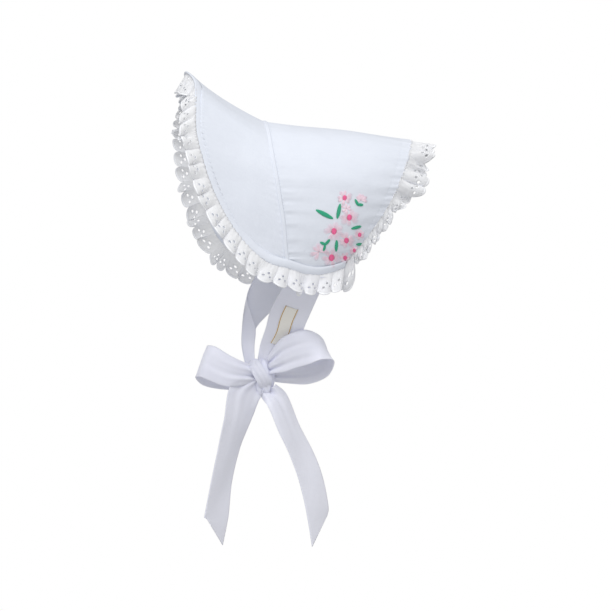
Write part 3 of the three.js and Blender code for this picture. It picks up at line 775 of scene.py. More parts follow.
# %% Lace repeat
LACE_WIDTH = 21
LACE_WALL = 0.55
ROOT_TUCK = 1.6
SCALLOP_PITCH = 13
SCALLOP_DEPTH = 6.0
EYELETS = [(0.5, 10.6, 1.15), (0.33, 14.2, 1.1), (0.67, 14.2, 1.1)]
REPEAT_GRID = (20, 24)
CORD_WIDTH = 1.0
CORD_RADIUS = 0.55
CORD_INSET = 0.5
RING_RADIUS = 0.42
STAND_UP = Matrix.Rotation(math.radians(90), 3, "X")


def scallop_edge(share):
    """How far a scallop's edge is drawn back at a share of its width: a round lobe."""
    return (2 * np.abs(share - 0.5)) ** 2


def lace_repeat():
    """One flat repeat of lace, 13 mm by 21 mm, with its three eyelets."""
    shape = bmesh.new()
    bmesh.ops.create_grid(shape, x_segments=REPEAT_GRID[0], y_segments=REPEAT_GRID[1], size=0.5)
    for vert in shape.verts:
        share = vert.co.x + 0.5
        down = vert.co.y + 0.5
        cut = SCALLOP_DEPTH * scallop_edge(share) * smooth(0.62, 1, down)
        vert.co = (share * SCALLOP_PITCH, down * LACE_WIDTH - cut, 0)
    for share, down, radius in EYELETS:
        middle = Vector((share * SCALLOP_PITCH, down, 0))
        inside = [f for f in shape.faces if (f.calc_center_median() - middle).length < radius]
        rim = {v for f in inside for v in f.verts}
        bmesh.ops.delete(shape, geom=inside, context="FACES")
        for vert in rim:
            if vert.is_valid:
                away = vert.co - middle
                vert.co = middle + away.normalized() * radius
    return shape


def lace_rings():
    """The raised threads of one repeat: a ring round each eyelet."""
    shape = bmesh.new()
    for share, down, radius in EYELETS:
        before = set(shape.verts)
        made = bmesh.ops.create_circle(shape, segments=6, radius=RING_RADIUS)["verts"]
        bmesh.ops.rotate(shape, verts=made, matrix=STAND_UP)
        bmesh.ops.translate(shape, verts=made, vec=(radius + RING_RADIUS * 0.6, 0, 0))
        edges = list({e for v in made for e in v.link_edges})
        bmesh.ops.spin(shape, geom=made + edges, axis=(0, 0, 1), angle=2 * math.pi, steps=10, use_merge=True)
        ring = [v for v in shape.verts if v not in before]
        bmesh.ops.translate(shape, verts=ring, vec=(share * SCALLOP_PITCH, down, 0))
    bmesh.ops.recalc_face_normals(shape, faces=shape.faces[:])
    return shape


def repeat_along(shape, count):
    """Copies one repeat along the strip and joins the copies."""
    one = shape.verts[:] + shape.edges[:] + shape.faces[:]
    for k in range(1, count):
        copy = bmesh.ops.duplicate(shape, geom=one)["geom"]
        verts = [g for g in copy if isinstance(g, bmesh.types.BMVert)]
        bmesh.ops.translate(shape, verts=verts, vec=(k * SCALLOP_PITCH, 0, 0))
    bmesh.ops.remove_doubles(shape, verts=shape.verts[:], dist=0.01)
    return shape


# %% [markdown]
# A gather takes the flat strip to the bonnet's edge. Its panels, one for each scallop, are of uneven
# width: the wide ones stand off the edge and the narrow ones are tucked in behind them. At the back the
# lace is crumpled short down both sides, so the strip loses reach there and takes small folds instead.

# %% Gathered lace
PLEAT_SHARE_TUCKED = 0.34
PULL = 0.11
CRUMPLE = 4.6
CRINKLE = 0.3


def side_rows(near_table, far_table, neck):
    """Lace directions from the near neck edge over the top to the far neck edge."""
    near = [(-f, -o, up) for f, o, up in near_table][::-1]
    far = [(-f, o, up) for f, o, up in far_table][1:]
    near_neck = [(-f, -o, up) for f, o, up in neck]
    far_neck = [(-f, o, up) for f, o, up in neck]
    return Curve(near_neck + near + far + far_neck)


class Gather:
    """Carries flat lace (x along the strip, y down it, z off its face, in mm) to a gathered edge."""

    def __init__(self, at, away, stand, outside, pleat, seed, fullness, short=np.ones_like,
                 depth=np.ones_like):
        self.at = at
        self.away = away
        self.stand = stand
        self.outside = outside
        self.pleat = pleat
        self.short = short
        self.depth = depth
        self.count = round(at.length() / SCALLOP_PITCH * fullness)
        rng = np.random.default_rng(seed)
        tucked = rng.uniform(0, 1, self.count) < PLEAT_SHARE_TUCKED
        width = np.where(tucked, rng.uniform(0.5, 0.75, self.count), rng.uniform(0.95, 1.25, self.count))
        bounds = np.concatenate([[0], np.cumsum(width)])
        self.bounds = bounds / bounds[-1]
        self.bulge = np.where(tucked, -0.5, 2.0) * rng.uniform(0.75, 1.2, self.count)
        self.lean = rng.uniform(-0.009, 0.009, self.count)
        self.tilt = rng.uniform(-2.2, 2.2, self.count)
        self.droop = rng.uniform(-1.6, 1.6, self.count)

    def panel(self, values, place):
        """A panel's own value in its middle, blended with its neighbours' where panels meet."""
        index = np.clip(np.floor(place).astype(int), 0, self.count - 1)
        share = place - index
        before = values[np.clip(index - 1, 0, self.count - 1)]
        after = values[np.clip(index + 1, 0, self.count - 1)]
        low = 0.5 * (1 - smooth(0, 0.3, share))
        high = 0.5 * smooth(0.7, 1, share)
        return values[index] * (1 - low - high) + before * low + after * high

    def carry(self, flat):
        """The places on the bonnet, in mm, of points on the flat strip."""
        place = np.clip(flat[:, 0] / SCALLOP_PITCH, 0, self.count - 1e-6)
        index = np.floor(place).astype(int)
        share = place - index
        down = flat[:, 1] / LACE_WIDTH
        drawn = share - PULL * np.sin(2 * math.pi * share) * smooth(0.0, 1.0, down)
        gathered = self.bounds[index] + drawn * (self.bounds[index + 1] - self.bounds[index])
        u = np.clip(gathered + self.panel(self.lean, place) * down ** 1.5, 0.002, 0.998)
        t = self.at.by_length(u)
        way = unit(self.stand.at(t))
        face = self.outside * unit(np.cross(self.at.tangent(t), way))
        short = self.short(u)
        ramp = smooth(-0.1, 0.9, down)
        bulge = self.bulge[index] * (1 - np.abs(2 * share - 1) ** 1.8) - 1
        twist = self.tilt[index] * np.sin(2 * math.pi * share) * 0.3
        crumple = CRUMPLE * (1 - short) * np.sin(2 * math.pi * (1.37 * place + 1.7 * down))
        crinkle = CRINKLE * np.sin(2 * math.pi * (3 * place + 0.3 * np.sin(place))) * np.exp(-down / 0.18)
        curl = self.panel(self.droop, place) * down ** 2.5
        off = (self.pleat * self.depth(u) * short ** 1.5 * bulge + twist + crumple) * ramp
        off = off + crinkle + curl + flat[:, 2]
        root = self.at.at(t) - unit(self.away.at(t)) * ROOT_TUCK
        return root + way * (flat[:, 1] * short)[:, None] + face * off[:, None]


def edge_cord(gather):
    """A flattened cord along the scallops' edge, made as a grid rolled up round its line."""
    shape, flat = grid_shape(16 * gather.count, 6)
    turn = 2 * math.pi * flat[:, 1]
    along = flat[:, 0] * gather.count
    share = along - np.floor(np.minimum(along, gather.count - 1e-6))
    drop = LACE_WIDTH - SCALLOP_DEPTH * scallop_edge(share) - CORD_INSET
    rolled = [along * SCALLOP_PITCH, drop + CORD_WIDTH * np.cos(turn), CORD_RADIUS * np.sin(turn)]
    move_points(shape, gather.carry(np.stack(rolled, axis=1)))
    bmesh.ops.remove_doubles(shape, verts=shape.verts[:], dist=1e-6)
    bmesh.ops.recalc_face_normals(shape, faces=shape.faces[:])
    return shape


def make_lace(name, gather, node):
    """The lace ground and its raised threads, gathered along an edge."""
    ground = repeat_along(lace_repeat(), gather.count)
    flat = np.array([v.co[:] for v in ground.verts])
    keep_cloth_map(ground, flat[:, :2] * MM)
    move_points(ground, gather.carry(flat))
    sheet = smooth_piece(name, ground)
    give_wall(sheet, LACE_WALL, 0)
    finish_piece(sheet, lace_cotton, "eyelet_lace", node)

    rings = repeat_along(lace_rings(), gather.count)
    move_points(rings, gather.carry(np.array([v.co[:] for v in rings.verts])))
    finish_piece(smooth_piece(name + "_rings", rings), lace_thread, "eyelet_lace")
    finish_piece(smooth_piece(name + "_cord", edge_cord(gather)), lace_thread, "eyelet_lace")
    return sheet


def back_short(u):
    """The back lace is crumpled short down its lower parts and full length at its neck ends."""
    from_top = np.abs(u - 0.5)
    beside = 0.1 * smooth(0.07, 0.14, from_top)
    lower = 0.66 * smooth(0.22, 0.29, from_top) * (1 - smooth(0.46, 0.495, from_top))
    return 1.06 + beside - lower


def back_depth(u):
    """It lies nearly flat over the top and is bunched in deep folds beside it."""
    return 0.6 + 0.6 * smooth(0.05, 0.12, np.abs(u - 0.5))


edge_away = Curve([-side for side in edge_sides])
rear_inner = [spot(crown_form, i / LAST_STATION, 1 - EDGE_STEP) for i in range(LAST_STATION + 1)]
rear_away = Curve([p - inner for p, inner in zip(rear_rail.points, rear_inner)])
brim_gather = Gather(
    edge_curve, edge_away, side_rows(BRIM_LACE, FAR_BRIM_LACE, [NECK_LACE] * 4), outside=1,
    pleat=2.7, seed=4, fullness=1.15
)
back_gather = Gather(
    rear_rail, rear_away, side_rows(REAR_LACE, REAR_LACE, []), outside=-1,
    pleat=3.8, seed=9, fullness=1.36, short=back_short, depth=back_depth
)
brim_lace = make_lace("brim_lace", brim_gather, "brim_ruffle")
back_lace = make_lace("back_lace", back_gather, "back_ruffle")
print("lace repeats:", brim_gather.count, "on the front and neck,", back_gather.count, "on the back")

# %% [markdown]
# The ribbons are long strips whose middle line and width direction are read off the photograph in a few
# rows. Each row says where the strip is, how wide it looks and how it is turned. Near the knot the strip
# is drawn together, so it takes lengthwise folds that fade out along its run.

# %% Ribbon tables
RIBBON_WIDTH = 32
RIBBON_WALL = 0.7
TIE_DROP = 94
KNOT_SIZE = (23, 20, 31)
KNOT = np.array([-34, -9, SEAM_TOP_Z - CROWN_HEIGHT - NECK_DIP / 2 - TIE_DROP])
LOOP_REACH = np.array([60, 20, 60])
TAIL_REACH = np.array([50, 50, 140])
TIE_INSET = 1.2
TIE_GAP = 0.8
NEAR_TIE_SEAT = 0.36
FAR_TIE_SEAT = 0.06
CREASE_AT = 0.34
FOLD_FADE = 0.13

# x, y and z from the knot as shares of the run, width as a share of the ribbon's, lean and turn in degrees
LEFT_LOOP = [
    (-0.10, -0.25, 0.03, 0.45, -90, 0), (-0.53, -0.65, 0.095, 0.84, -105, 0),
    (-0.86, -0.50, 0.245, 0.94, -115, 0), (-0.93, 0.00, 0.235, 0.94, -112, 0),
    (-0.82, 0.38, 0.125, 0.94, -106, 0), (-0.48, 0.40, 0.03, 0.81, -98, 0),
    (-0.12, 0.25, 0.00, 0.44, -90, 0),
]
RIGHT_LOOP = [
    (0.07, -0.34, 0.19, 0.50, -82, 0), (0.30, -0.70, 0.35, 0.95, -83, 0),
    (0.58, -0.90, 0.45, 1.00, -87, -8), (0.84, -0.72, 0.45, 1.00, -92, -52),
    (0.98, -0.12, 0.36, 0.98, -66, -62), (0.93, 0.30, 0.22, 0.95, -80, -42),
    (0.66, 0.42, 0.12, 0.90, -82, -26), (0.34, 0.34, 0.08, 0.64, -88, -14),
    (0.12, 0.20, 0.05, 0.38, -90, 0),
]
LEFT_TAIL = [
    (-0.12, -0.08, -0.020, 0.62, -50, 0), (-0.33, -0.12, -0.082, 0.98, -26, 20),
    (-0.46, -0.05, -0.261, 1.02, 4, 38), (-0.61, 0.05, -0.459, 1.02, 12, 45),
    (-0.76, 0.10, -0.697, 1.02, 12, 45), (-0.83, 0.10, -0.867, 1.04, 5, 45),
    (-0.87, 0.10, -0.985, 1.20, -58, 36),
]
RIGHT_TAIL = [
    (0.08, -0.05, -0.077, 0.52, 36, 0), (0.24, -0.10, -0.140, 0.82, 30, 40),
    (0.47, -0.05, -0.330, 1.00, 18, 47), (0.68, 0.05, -0.481, 1.02, 14, 46),
    (0.86, 0.10, -0.643, 1.02, 6, 46), (0.98, 0.10, -0.826, 1.02, 5, 46),
    (1.03, 0.10, -0.985, 1.22, 59, 36),
]
# fall and near are shares of the way from the seat to the knot, sway is in ribbon widths
NearRow = namedtuple("NearRow", "fall near sway width lean turn")
NEAR_TIE = [NearRow(*row) for row in (
    (0.00, 0.00, 0.00, 1.06, -6, 10), (0.26, 0.26, 0.02, 1.06, -14, 8), (0.50, 0.60, 0.18, 1.06, -20, 0),
    (0.70, 0.84, 0.33, 1.00, -22, -6), (0.86, 0.97, 0.26, 0.80, -20, -8), (1.10, 1.00, 0.00, 0.40, -5, 0),
)]
# fold is the share of the width that is folded over; flap and back are its leaves' plan angles
FarRow = namedtuple("FarRow", "fall near sway width fold flap back")
FAR_TIE = [FarRow(*row) for row in (
    (0.00, 0.00, -0.60, 0.84, 0.06, 185, -6), (0.24, 0.18, -0.82, 1.08, 0.08, 262, 4),
    (0.45, 0.42, -0.83, 1.08, 0.25, 310, 14), (0.66, 0.66, -0.76, 0.96, 0.42, 335, 44),
    (0.86, 0.86, -0.66, 0.84, 0.42, 342, 48), (1.12, 1.00, -0.46, 0.56, 0.42, 350, 40),
)]

# %% [markdown]
# A loop, a tail or the near tie is one strip: its middle line, plus a width direction that turns along the
# way. The far tie is folded lengthwise, so it has two leaves that meet in a crease. All of them take the
# same lengthwise folds where the knot draws them together, and the loops swell towards the front.

# %% Ribbon surfaces
def width_vector(width, lean, turn):
    """The way across a ribbon, as long as it looks wide."""
    a, b = math.radians(lean), math.radians(turn)
    across = np.array([math.cos(a) * math.cos(b), math.sin(b), math.sin(a) * math.cos(b)])
    return across * width * RIBBON_WIDTH


def flat_ribbon(places, widths):
    """A ribbon along a middle line, with its width turning from row to row."""
    middle = Curve(places)
    across = Curve([width_vector(*row) for row in widths])
    return lambda u, v: middle.at(u) + across.at(u) * (v - 0.5)[:, None]


def strip(rows, reach):
    """A loop or a tail from its table."""
    return flat_ribbon([KNOT + np.array(row[:3]) * reach for row in rows], [row[3:] for row in rows])


def tie_seat(s, t):
    """Where a tie is sewn on, just below the neck's edge."""
    inner = EDGE_STEP if s == 0 else 1 - EDGE_STEP
    at = spot(crown_form, s, t)
    away = unit(at - spot(crown_form, inner, t))
    return at + away * TIE_GAP - outward(at[None])[0] * TIE_INSET


def tie_places(rows, seat):
    """Where each row of a tie is, between its seat on the neck edge and the knot."""
    end = np.array([KNOT[0], KNOT[1], KNOT[2] + KNOT_SIZE[2] / 2])
    sways = [np.array([row.sway * RIBBON_WIDTH, 0, 0]) for row in rows]
    return [seat + (end - seat) * (row.near, row.near, row.fall) + sway for row, sway in zip(rows, sways)]


def leaf(rows, key):
    """The way across one leaf of a folded tie."""
    angles = [math.radians(getattr(row, key)) for row in rows]
    return Curve([
        np.array([math.cos(a), math.sin(a), 0]) * row.width * RIBBON_WIDTH for a, row in zip(angles, rows)
    ])


near_tie_form = flat_ribbon(tie_places(NEAR_TIE, tie_seat(0, NEAR_TIE_SEAT)), [row[3:] for row in NEAR_TIE])
far_crease = Curve(tie_places(FAR_TIE, tie_seat(1, FAR_TIE_SEAT)))
far_fold = Curve([(row.fold, row.fall, 0) for row in FAR_TIE])
far_flap = leaf(FAR_TIE, "flap")
far_back = leaf(FAR_TIE, "back")


def far_tie_form(u, v):
    """The far tie: a narrow flap and a broad back leaf on either side of its crease."""
    share = far_fold.at(u)[:, 0]
    flap = far_flap.at(u) * (share * (1 - v / CREASE_AT))[:, None]
    back = far_back.at(u) * ((1 - share) * (v - CREASE_AT) / (1 - CREASE_AT))[:, None]
    return far_crease.at(u) + np.where((v < CREASE_AT)[:, None], flap, back)


def surface_normal(surface, u, v, step=2e-3):
    """The way off a surface's face."""
    du = surface(np.clip(u + step, 0, 1), v) - surface(np.clip(u - step, 0, 1), v)
    dv = surface(u, np.clip(v + step, 0, 1)) - surface(u, np.clip(v - step, 0, 1))
    return unit(np.cross(du, dv))


def folded(surface, start, end, folds, depth, phase, ripple, swell):
    """Lengthwise folds near a ribbon's ends, a slow ripple along it and a swell towards the front."""
    def place(u, v):
        fade = start * np.exp(-u / FOLD_FADE) + end * np.exp(-(1 - u) / FOLD_FADE)
        crease = np.cos(2 * math.pi * (folds * v + phase))
        crease = crease + 0.4 * np.cos(2 * math.pi * (2 * folds * v + 2.7 * phase))
        wave = ripple * np.sin(math.pi * (3.1 * u + 1.3 * v + 2 * phase)) * np.sin(math.pi * u)
        front = swell * np.sin(math.pi * v ** 0.55) * np.sin(math.pi * u) ** 0.7
        moved = surface(u, v) + surface_normal(surface, u, v) * (depth * fade * crease + wave)[:, None]
        return moved - np.array([0, 1, 0]) * front[:, None]
    return place


# node, surface, start and end folds, number of folds, depth, phase, ripple, swell, held
RIBBONS = [
    ("near_tie", near_tie_form, 0.3, 1.0, 2.0, 1.3, 0.2, 0.5, 0, "hung"),
    ("far_tie", far_tie_form, 0.0, 0.6, 1.0, 0.8, 0.4, 0.3, 0, "folded"),
    ("left_loop", strip(LEFT_LOOP, LOOP_REACH), 1.0, 1.0, 2.2, 1.7, 0.35, 0.6, 2.5, "folded"),
    ("right_loop", strip(RIGHT_LOOP, LOOP_REACH), 1.0, 1.0, 2.4, 1.9, 0.1, 0.5, 4.5, "folded"),
    ("left_tail", strip(LEFT_TAIL, TAIL_REACH), 1.2, 0.0, 1.8, 2.6, 0.15, 0.8, 0, "hung"),
    ("right_tail", strip(RIGHT_TAIL, TAIL_REACH), 1.2, 0.0, 1.7, 2.4, 0.6, 0.8, 0, "hung"),
]
RIBBON_GRID = (150, 32)
RUN_STEPS = 200


def run_length(surface):
    """The length of a ribbon's middle line."""
    line = surface(np.linspace(0, 1, RUN_STEPS), np.full(RUN_STEPS, 0.5))
    return float(np.linalg.norm(np.diff(line, axis=0), axis=1).sum())


ribbons = {}
for node, surface, *folds, held in RIBBONS:
    cloth = folded(surface, *folds)
    run = run_length(surface)
    piece = carry_grid(node + "_cloth", RIBBON_GRID, cloth, (run, RIBBON_WIDTH), RIBBON_WALL, offset=0)
    finish_piece(piece, ribbon_cloth, "ribbon", node)
    ribbons[node] = (piece, cloth, run, held)
    print(node, "run in mm:", round(run))

# %% [markdown]
# The knot is a core of bunched ribbon with one flat turn of ribbon drawn slantwise over it. The core is a
# ball with soft creases. The turn is a closed band in the plane of the slant, with a lengthwise fold.

# %% Knot
BAND_WAY = unit(np.array([0.485, 0, -0.874]))
BAND_SIDE = unit(np.array([0.874, 0, 0.485]))
BAND_HALF = (13.6, 11.4)
BAND_WIDTH = 10.6
BAND_WALL = 0.8
BAND_GRID = (96, 20)
CORE_HALF = np.array(KNOT_SIZE) / 2 * (0.84, 0.88, 1.06)
BAND_MIDDLE = KNOT + np.array([-3.6, 0, 2.6])

core_shape = bmesh.new()
bmesh.ops.create_uvsphere(core_shape, u_segments=64, v_segments=48, radius=1)
for vert in core_shape.verts:
    x, y, z = vert.co
    around = math.atan2(y, x)
    crease = 1 + 0.05 * math.cos(5 * around + 1.5 * z) + 0.03 * math.cos(9 * around - 2 * z)
    vert.co = Vector((KNOT + np.array([x, y, z]) * CORE_HALF * crease) * MM)
core = smooth_piece("knot_core", core_shape)
uv = core.data.uv_layers.new(name="cloth")
for loop in core.data.loops:
    where = core.data.vertices[loop.vertex_index].co
    uv.data[loop.index].uv = (where.x + where.y, where.z)
finish_piece(core, ribbon_cloth, "ribbon", "bow_knot")


def place_band(u, v):
    turn = 2 * math.pi * u
    front = smooth(-0.2, 1, -np.sin(turn))
    width = BAND_WIDTH * (0.86 + 0.22 * front)
    step = 0.7 * smooth(0.24, 0.36, v) - 0.25 * np.cos(2 * math.pi * 3 * v)
    crown_up = 0.8 * np.sin(math.pi * v)
    out = (step + crown_up - 0.6)[:, None]
    way = np.cos(turn)[:, None] * (BAND_HALF[0] + out)
    deep = np.sin(turn)[:, None] * (BAND_HALF[1] + out)
    across = ((v - 0.5) * width)[:, None]
    return BAND_MIDDLE + BAND_WAY * way + np.array([0, 1, 0]) * deep + BAND_SIDE * across


band_run = 2 * math.pi * math.sqrt((BAND_HALF[0] ** 2 + BAND_HALF[1] ** 2) / 2)
band = carry_grid("knot_turn", BAND_GRID, place_band, (band_run, RIBBON_WIDTH), BAND_WALL, offset=0)
finish_piece(band, ribbon_cloth, "ribbon")

# %% [markdown]
# A small woven label is sewn flat on the outer face of the near tie. It is a cream weave with a fine gold
# line near each long edge. The lines are woven in and not raised, so the material draws them.

# %% Label
LABEL_START = 0.295
LABEL_EDGE = 0.30
LABEL_LENGTH = 46
LABEL_WIDTH = 12
LABEL_WALL = 0.35
LABEL_RISE = 0.75
LABEL_GRID = (60, 14)
GOLD = (0.50, 0.27, 0.05, 1)
LINE_INSET = 0.9
LINE_HALF = 0.32
_, near_cloth, near_run, _ = ribbons["near_tie"]

tree = label_cloth.node_tree
label_colour = tree.nodes["Principled BSDF"].inputs["Base Color"]
woven = label_colour.links[0].from_socket
across = add_node(tree, "SeparateXYZ", Vector=cloth_uv(tree)).outputs["Y"]
middle = LABEL_WIDTH / 2 * MM
from_middle = math_node(tree, "ABSOLUTE", math_node(tree, "SUBTRACT", across, middle))
off_line = math_node(tree, "ABSOLUTE", math_node(tree, "SUBTRACT", from_middle, middle - LINE_INSET * MM))
on_line = math_node(tree, "LESS_THAN", off_line, LINE_HALF * MM)
feed(tree, label_colour, colour_mix(tree, on_line, woven, GOLD))


def place_label(u, v):
    along = LABEL_START + LABEL_LENGTH / near_run * u
    across = LABEL_EDGE + LABEL_WIDTH / RIBBON_WIDTH * v
    return near_cloth(along, across) + surface_normal(near_cloth, along, across) * LABEL_RISE


label = carry_grid("label_cloth", LABEL_GRID, place_label, (LABEL_LENGTH, LABEL_WIDTH), LABEL_WALL, offset=0)
finish_piece(label, label_cloth, "woven_label", "label")

# %% [markdown]
# The sprig of blossom is worked in satin stitch: short parallel threads, side by side. Each thread is one
# long thin ball, made flat in the picture's own points, and the finished sprig is then laid on the crown
# along the camera's lines of sight, so it sits on the cloth and follows its curve.

# %% Embroidery helpers
THREAD_RADIUS = 0.34
PETAL_THREAD_RADIUS = 0.3
PETAL_THREADS = 5
THREAD_PITCH = 0.62


def tree_of(*pieces):
    """A search tree over the outer faces of some pieces."""
    points, faces = [], []
    for piece in pieces:
        first = len(points)
        points += [v.co.copy() for v in piece.data.vertices]
        faces += [[first + k for k in face.vertices] for face in piece.data.polygons]
    return BVHTree.FromPolygons(points, faces)


class Threads:
    """Many stitches of one shape: a long thin ball is made once and set in place for every stitch."""

    def __init__(self, around=8, along=5):
        ball = bmesh.new()
        bmesh.ops.create_uvsphere(ball, u_segments=around, v_segments=along, radius=1)
        ball.verts.index_update()
        self.points = np.array([v.co[:] for v in ball.verts])
        self.faces = np.array([[v.index for v in f.verts] + [-1] * (4 - len(f.verts)) for f in ball.faces])
        ball.free()
        self.places = []

    def add(self, matrix):
        self.places.append(np.array(matrix))

    def make(self, name, material, carry=None):
        """Turns the stitches into one piece, whose points carry may move."""
        count = len(self.places)
        local = np.hstack([self.points, np.ones((len(self.points), 1))])
        points = np.concatenate([local @ place[:3].T for place in self.places])
        if carry:
            points = carry(points)
        offsets = np.repeat(np.arange(count) * len(self.points), len(self.faces))
        faces = np.tile(self.faces, (count, 1))
        faces = [[k + first for k in face if k >= 0] for face, first in zip(faces.tolist(), offsets.tolist())]
        mesh = bpy.data.meshes.new(name)
        mesh.from_pydata(points.tolist(), [], faces)
        mesh.shade_smooth()
        mesh.materials.append(material)
        piece = bpy.data.objects.new(name, mesh)
        bpy.context.collection.objects.link(piece)
        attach(piece, "root")
        print(name, "stitches:", count)


def add_thread(threads, start, end, radius=THREAD_RADIUS, rise=0.2):
    """One stitch from start to end, both in picture points."""
    start, end = Vector((*start, 0)), Vector((*end, 0))
    run = end - start
    turn = Matrix.Rotation(-math.atan2(run.y, run.x), 4, "Z")
    across = radius / MM_PER_POINT
    size = Matrix.Diagonal((run.length / 2 + across, across, radius * 0.9, 1))
    middle = (start + end) / 2
    threads.add(Matrix.Translation((middle.x, -middle.y, rise)) @ turn @ size)


cloth_tree = tree_of(crown, binding)


def lay_on_crown(points):
    """Moves points (across, up and off the cloth) along the lines of sight to the cloth."""
    eye = camera.location
    laid = []
    for px, up, rise in points.tolist():
        aim = picture_place(px, -up)
        spot_on, normal, _, _ = cloth_tree.ray_cast(eye, (aim - eye).normalized())
        if spot_on is None:
            spot_on, normal, _, _ = cloth_tree.find_nearest(aim)
        if normal.dot(VIEW_BACK) < 0:
            normal = -normal
        laid.append(spot_on + normal * (rise * MM))
    return np.array(laid)


def petal(shape, centre, angle, inner, outer, spread):
    """A petal is a fan of threads, longest in the middle."""
    for k in np.linspace(-1, 1, PETAL_THREADS):
        way = angle + k * spread
        reach = outer * (1 - 0.16 * k * k)
        tip = (centre[0] + reach * math.cos(way), centre[1] + reach * math.sin(way))
        root_way = angle + k * spread * 0.8
        root = (centre[0] + inner * math.cos(root_way), centre[1] + inner * math.sin(root_way))
        add_thread(shape, root, tip, radius=PETAL_THREAD_RADIUS, rise=0.08 + 0.1 * (1 - abs(k)))


def satin(shape, start, end, width, slant=60):
    """A leaf or centre: side-by-side threads across a line, widest at its middle."""
    start, end = np.array(start, float), np.array(end, float)
    run = end - start
    length = float(np.hypot(*run))
    way = run / length
    cross_way = math.atan2(way[1], way[0]) + math.radians(slant)
    cross = np.array([math.cos(cross_way), math.sin(cross_way)])
    count = max(4, round(length / THREAD_PITCH))
    for k in range(count):
        share = (k + 0.5) / count
        half = width / 2 * math.sin(math.pi * share) ** 0.55 / math.sin(math.radians(slant))
        middle = start + run * share
        rise = 0.14 + 0.2 * math.sin(math.pi * share)
        add_thread(shape, middle - cross * half, middle + cross * half, rise=rise)


def thread_material(name, light, shade):
    """Shiny cotton thread, a little lighter and darker from strand to strand."""
    material, shader = principled(name, light, 0.5)
    shader.inputs["Sheen Weight"].default_value = 0.2
    tree = material.node_tree
    where = add_node(tree, "TexCoord").outputs["Object"]
    strands = add_node(tree, "TexNoise", Vector=where, Scale=1400.0, Detail=2.0).outputs["Fac"]
    feed(tree, shader.inputs["Base Color"], colour_mix(tree, strands, (*light, 1), (*shade, 1)))
    bump = add_node(tree, "Bump", Strength=0.4, Distance=WEAVE_HEIGHT, Height=strands)
    feed(tree, shader.inputs["Normal"], bump.outputs["Normal"])
    return material


# %% [markdown]
# The sprig has blossoms with a centre, three that show petals only, and leaves. Their places follow the
# photograph. Each petal has its own turn, width and length from one seeded draw, as hand embroidery has.

# %% Sprig of blossom
# centre in picture points, radius, petals, first petal's angle, centre's size
BLOSSOMS = [
    (344.6, 197.8, 7.0, 8, 10, 2.4), (349.3, 217.5, 8.8, 7, 35, 2.9), (334.0, 231.2, 9.4, 7, 20, 3.0),
    (346.3, 240.4, 7.8, 8, 5, 2.7), (359.5, 234.7, 5.4, 6, 40, 2.0), (354.2, 250.3, 4.8, 6, 15, 1.7),
    (331.5, 257.6, 9.0, 7, 28, 3.2), (345.0, 257.8, 5.4, 6, 60, 2.2),
]
# petals without a centre: centre, radius, from and to angle (picture angles, down is positive), petals
FANS = [
    (361.0, 200.5, 7.4, 180, 370, 6), (346.5, 208.5, 5.6, 20, 330, 6), (319.0, 252.0, 9.5, 120, 350, 6),
]
# start, end and width in picture points
LEAVES = [
    (315.9, 210.1, 333.1, 218.4, 4.6), (339.9, 203.8, 337.4, 218.6, 3.8), (354.8, 199.5, 358.6, 205.6, 2.8),
    (357.0, 205.0, 363.0, 204.4, 3.2), (351.4, 229.0, 361.0, 226.0, 3.4), (356.2, 244.8, 362.6, 243.8, 3.0),
    (320.0, 242.6, 326.0, 244.4, 3.0), (329.6, 239.2, 324.8, 245.4, 2.8), (325.0, 244.6, 323.6, 251.2, 2.4),
    (336.4, 240.0, 336.2, 251.4, 3.2),
]
pink_thread = thread_material("pink_thread", (0.92, 0.77, 0.84), (0.84, 0.61, 0.72))
rose_thread = thread_material("rose_thread", (0.95, 0.19, 0.40), (0.82, 0.09, 0.28))
green_thread = thread_material("green_thread", (0.035, 0.47, 0.27), (0.012, 0.31, 0.17))

petals, centres, leaves = Threads(), Threads(), Threads()
hand = np.random.default_rng(12)
for x, y, radius, count, first, heart in BLOSSOMS:
    for k in range(count):
        angle = math.radians(first + 360 * k / count + hand.uniform(-9, 9))
        spread = math.radians(132 / count) * hand.uniform(0.75, 1.2)
        petal(petals, (x, y), angle, heart * 0.8, radius * hand.uniform(0.94, 1.2), spread)
    satin(centres, (x - 0.7, y - heart), (x + 0.7, y + heart), heart * 1.85, slant=80)
for x, y, radius, low, high, count in FANS:
    for angle in np.linspace(low, high, count):
        turned = math.radians(angle + hand.uniform(-8, 8))
        petal(petals, (x, y), turned, 0.3, radius * hand.uniform(0.85, 1.08), math.radians(15))
for x1, y1, x2, y2, width in LEAVES:
    satin(leaves, (x1, y1), (x2, y2), width)
for name, shape, material in (
    ("blossom_petals", petals, pink_thread),
    ("blossom_centres", centres, rose_thread),
    ("sprig_leaves", leaves, green_thread),
):
    shape.make(name, material, lay_on_crown)

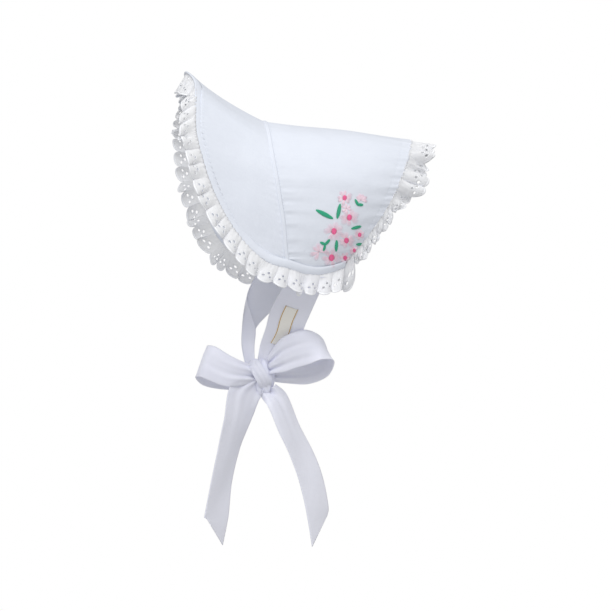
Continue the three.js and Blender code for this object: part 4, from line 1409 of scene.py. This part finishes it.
# %% [markdown]
# Rows of small stitches hold the brim's hem, the welt and the casing. Each stitch is one short thread that
# lies on the cloth along its seam.

# %% Rows of stitching
STITCH = 2.0
STITCH_GAP = 0.8
STITCH_RISE = 0.1
SEAM_STITCH_AT = 0.022
HEM_STITCH_INSET = BINDING_WIDTH + 1.0


def stitch_row(shape, surface, s, t, radius=0.2):
    """Stitches along the line s, t (arrays) of a surface in mm."""
    line = surface(s, t)
    run = np.concatenate([[0], np.cumsum(np.linalg.norm(np.diff(line, axis=0), axis=1))])
    starts = np.arange(0, run[-1] - STITCH, STITCH + STITCH_GAP)
    for start in starts:
        ends = np.array([start, start + STITCH])
        share = np.interp(ends, run, np.arange(len(s)))
        s_at = np.interp(share, np.arange(len(s)), s)
        t_at = np.interp(share, np.arange(len(t)), t)
        a, b = surface(s_at, t_at)
        up = outward(((a + b) / 2)[None])[0]
        along = Vector(b - a).normalized()
        across = Vector(up).cross(along).normalized()
        frame_matrix = Matrix((along, across, along.cross(across))).transposed().to_4x4()
        size = Matrix.Diagonal((STITCH / 2 * MM, radius * MM, radius * MM, 1))
        middle = Vector(((a + b) / 2 + up * STITCH_RISE) * MM)
        shape.add(Matrix.Translation(middle) @ frame_matrix @ size)


stitch_thread = thread_material("white_thread", (0.82, 0.85, 0.91), (0.72, 0.76, 0.84))
stitches = Threads(6, 4)
line = np.linspace(0.03, 0.97, 700)
stitch_row(stitches, crown_cloth, line, np.full_like(line, CASING))
stitch_row(stitches, crown_cloth, line, np.full_like(line, SEAM_STITCH_AT), radius=0.17)
brim_line = np.linspace(0.1, 0.9, 700)
brim_run = np.linalg.norm(seam_rail.at(brim_line) - brim_rail.at(brim_line), axis=-1)
stitch_row(stitches, brim_cloth, brim_line, 1 - HEM_STITCH_INSET / brim_run)
stitches.make("seam_stitches", stitch_thread)

# %% [markdown]
# Every ribbon, ruffle and sewn panel is a sheet of cloth: ribbons are 32 mm wide, and the gathered lace is
# longer than the edge it is sewn to. The brim's cut size, its depth and the length of its edge in metres, is
# worked out here.

# %% The brim's cut size
brim_size = (brim_depth * MM, brim_rail.length() * MM)
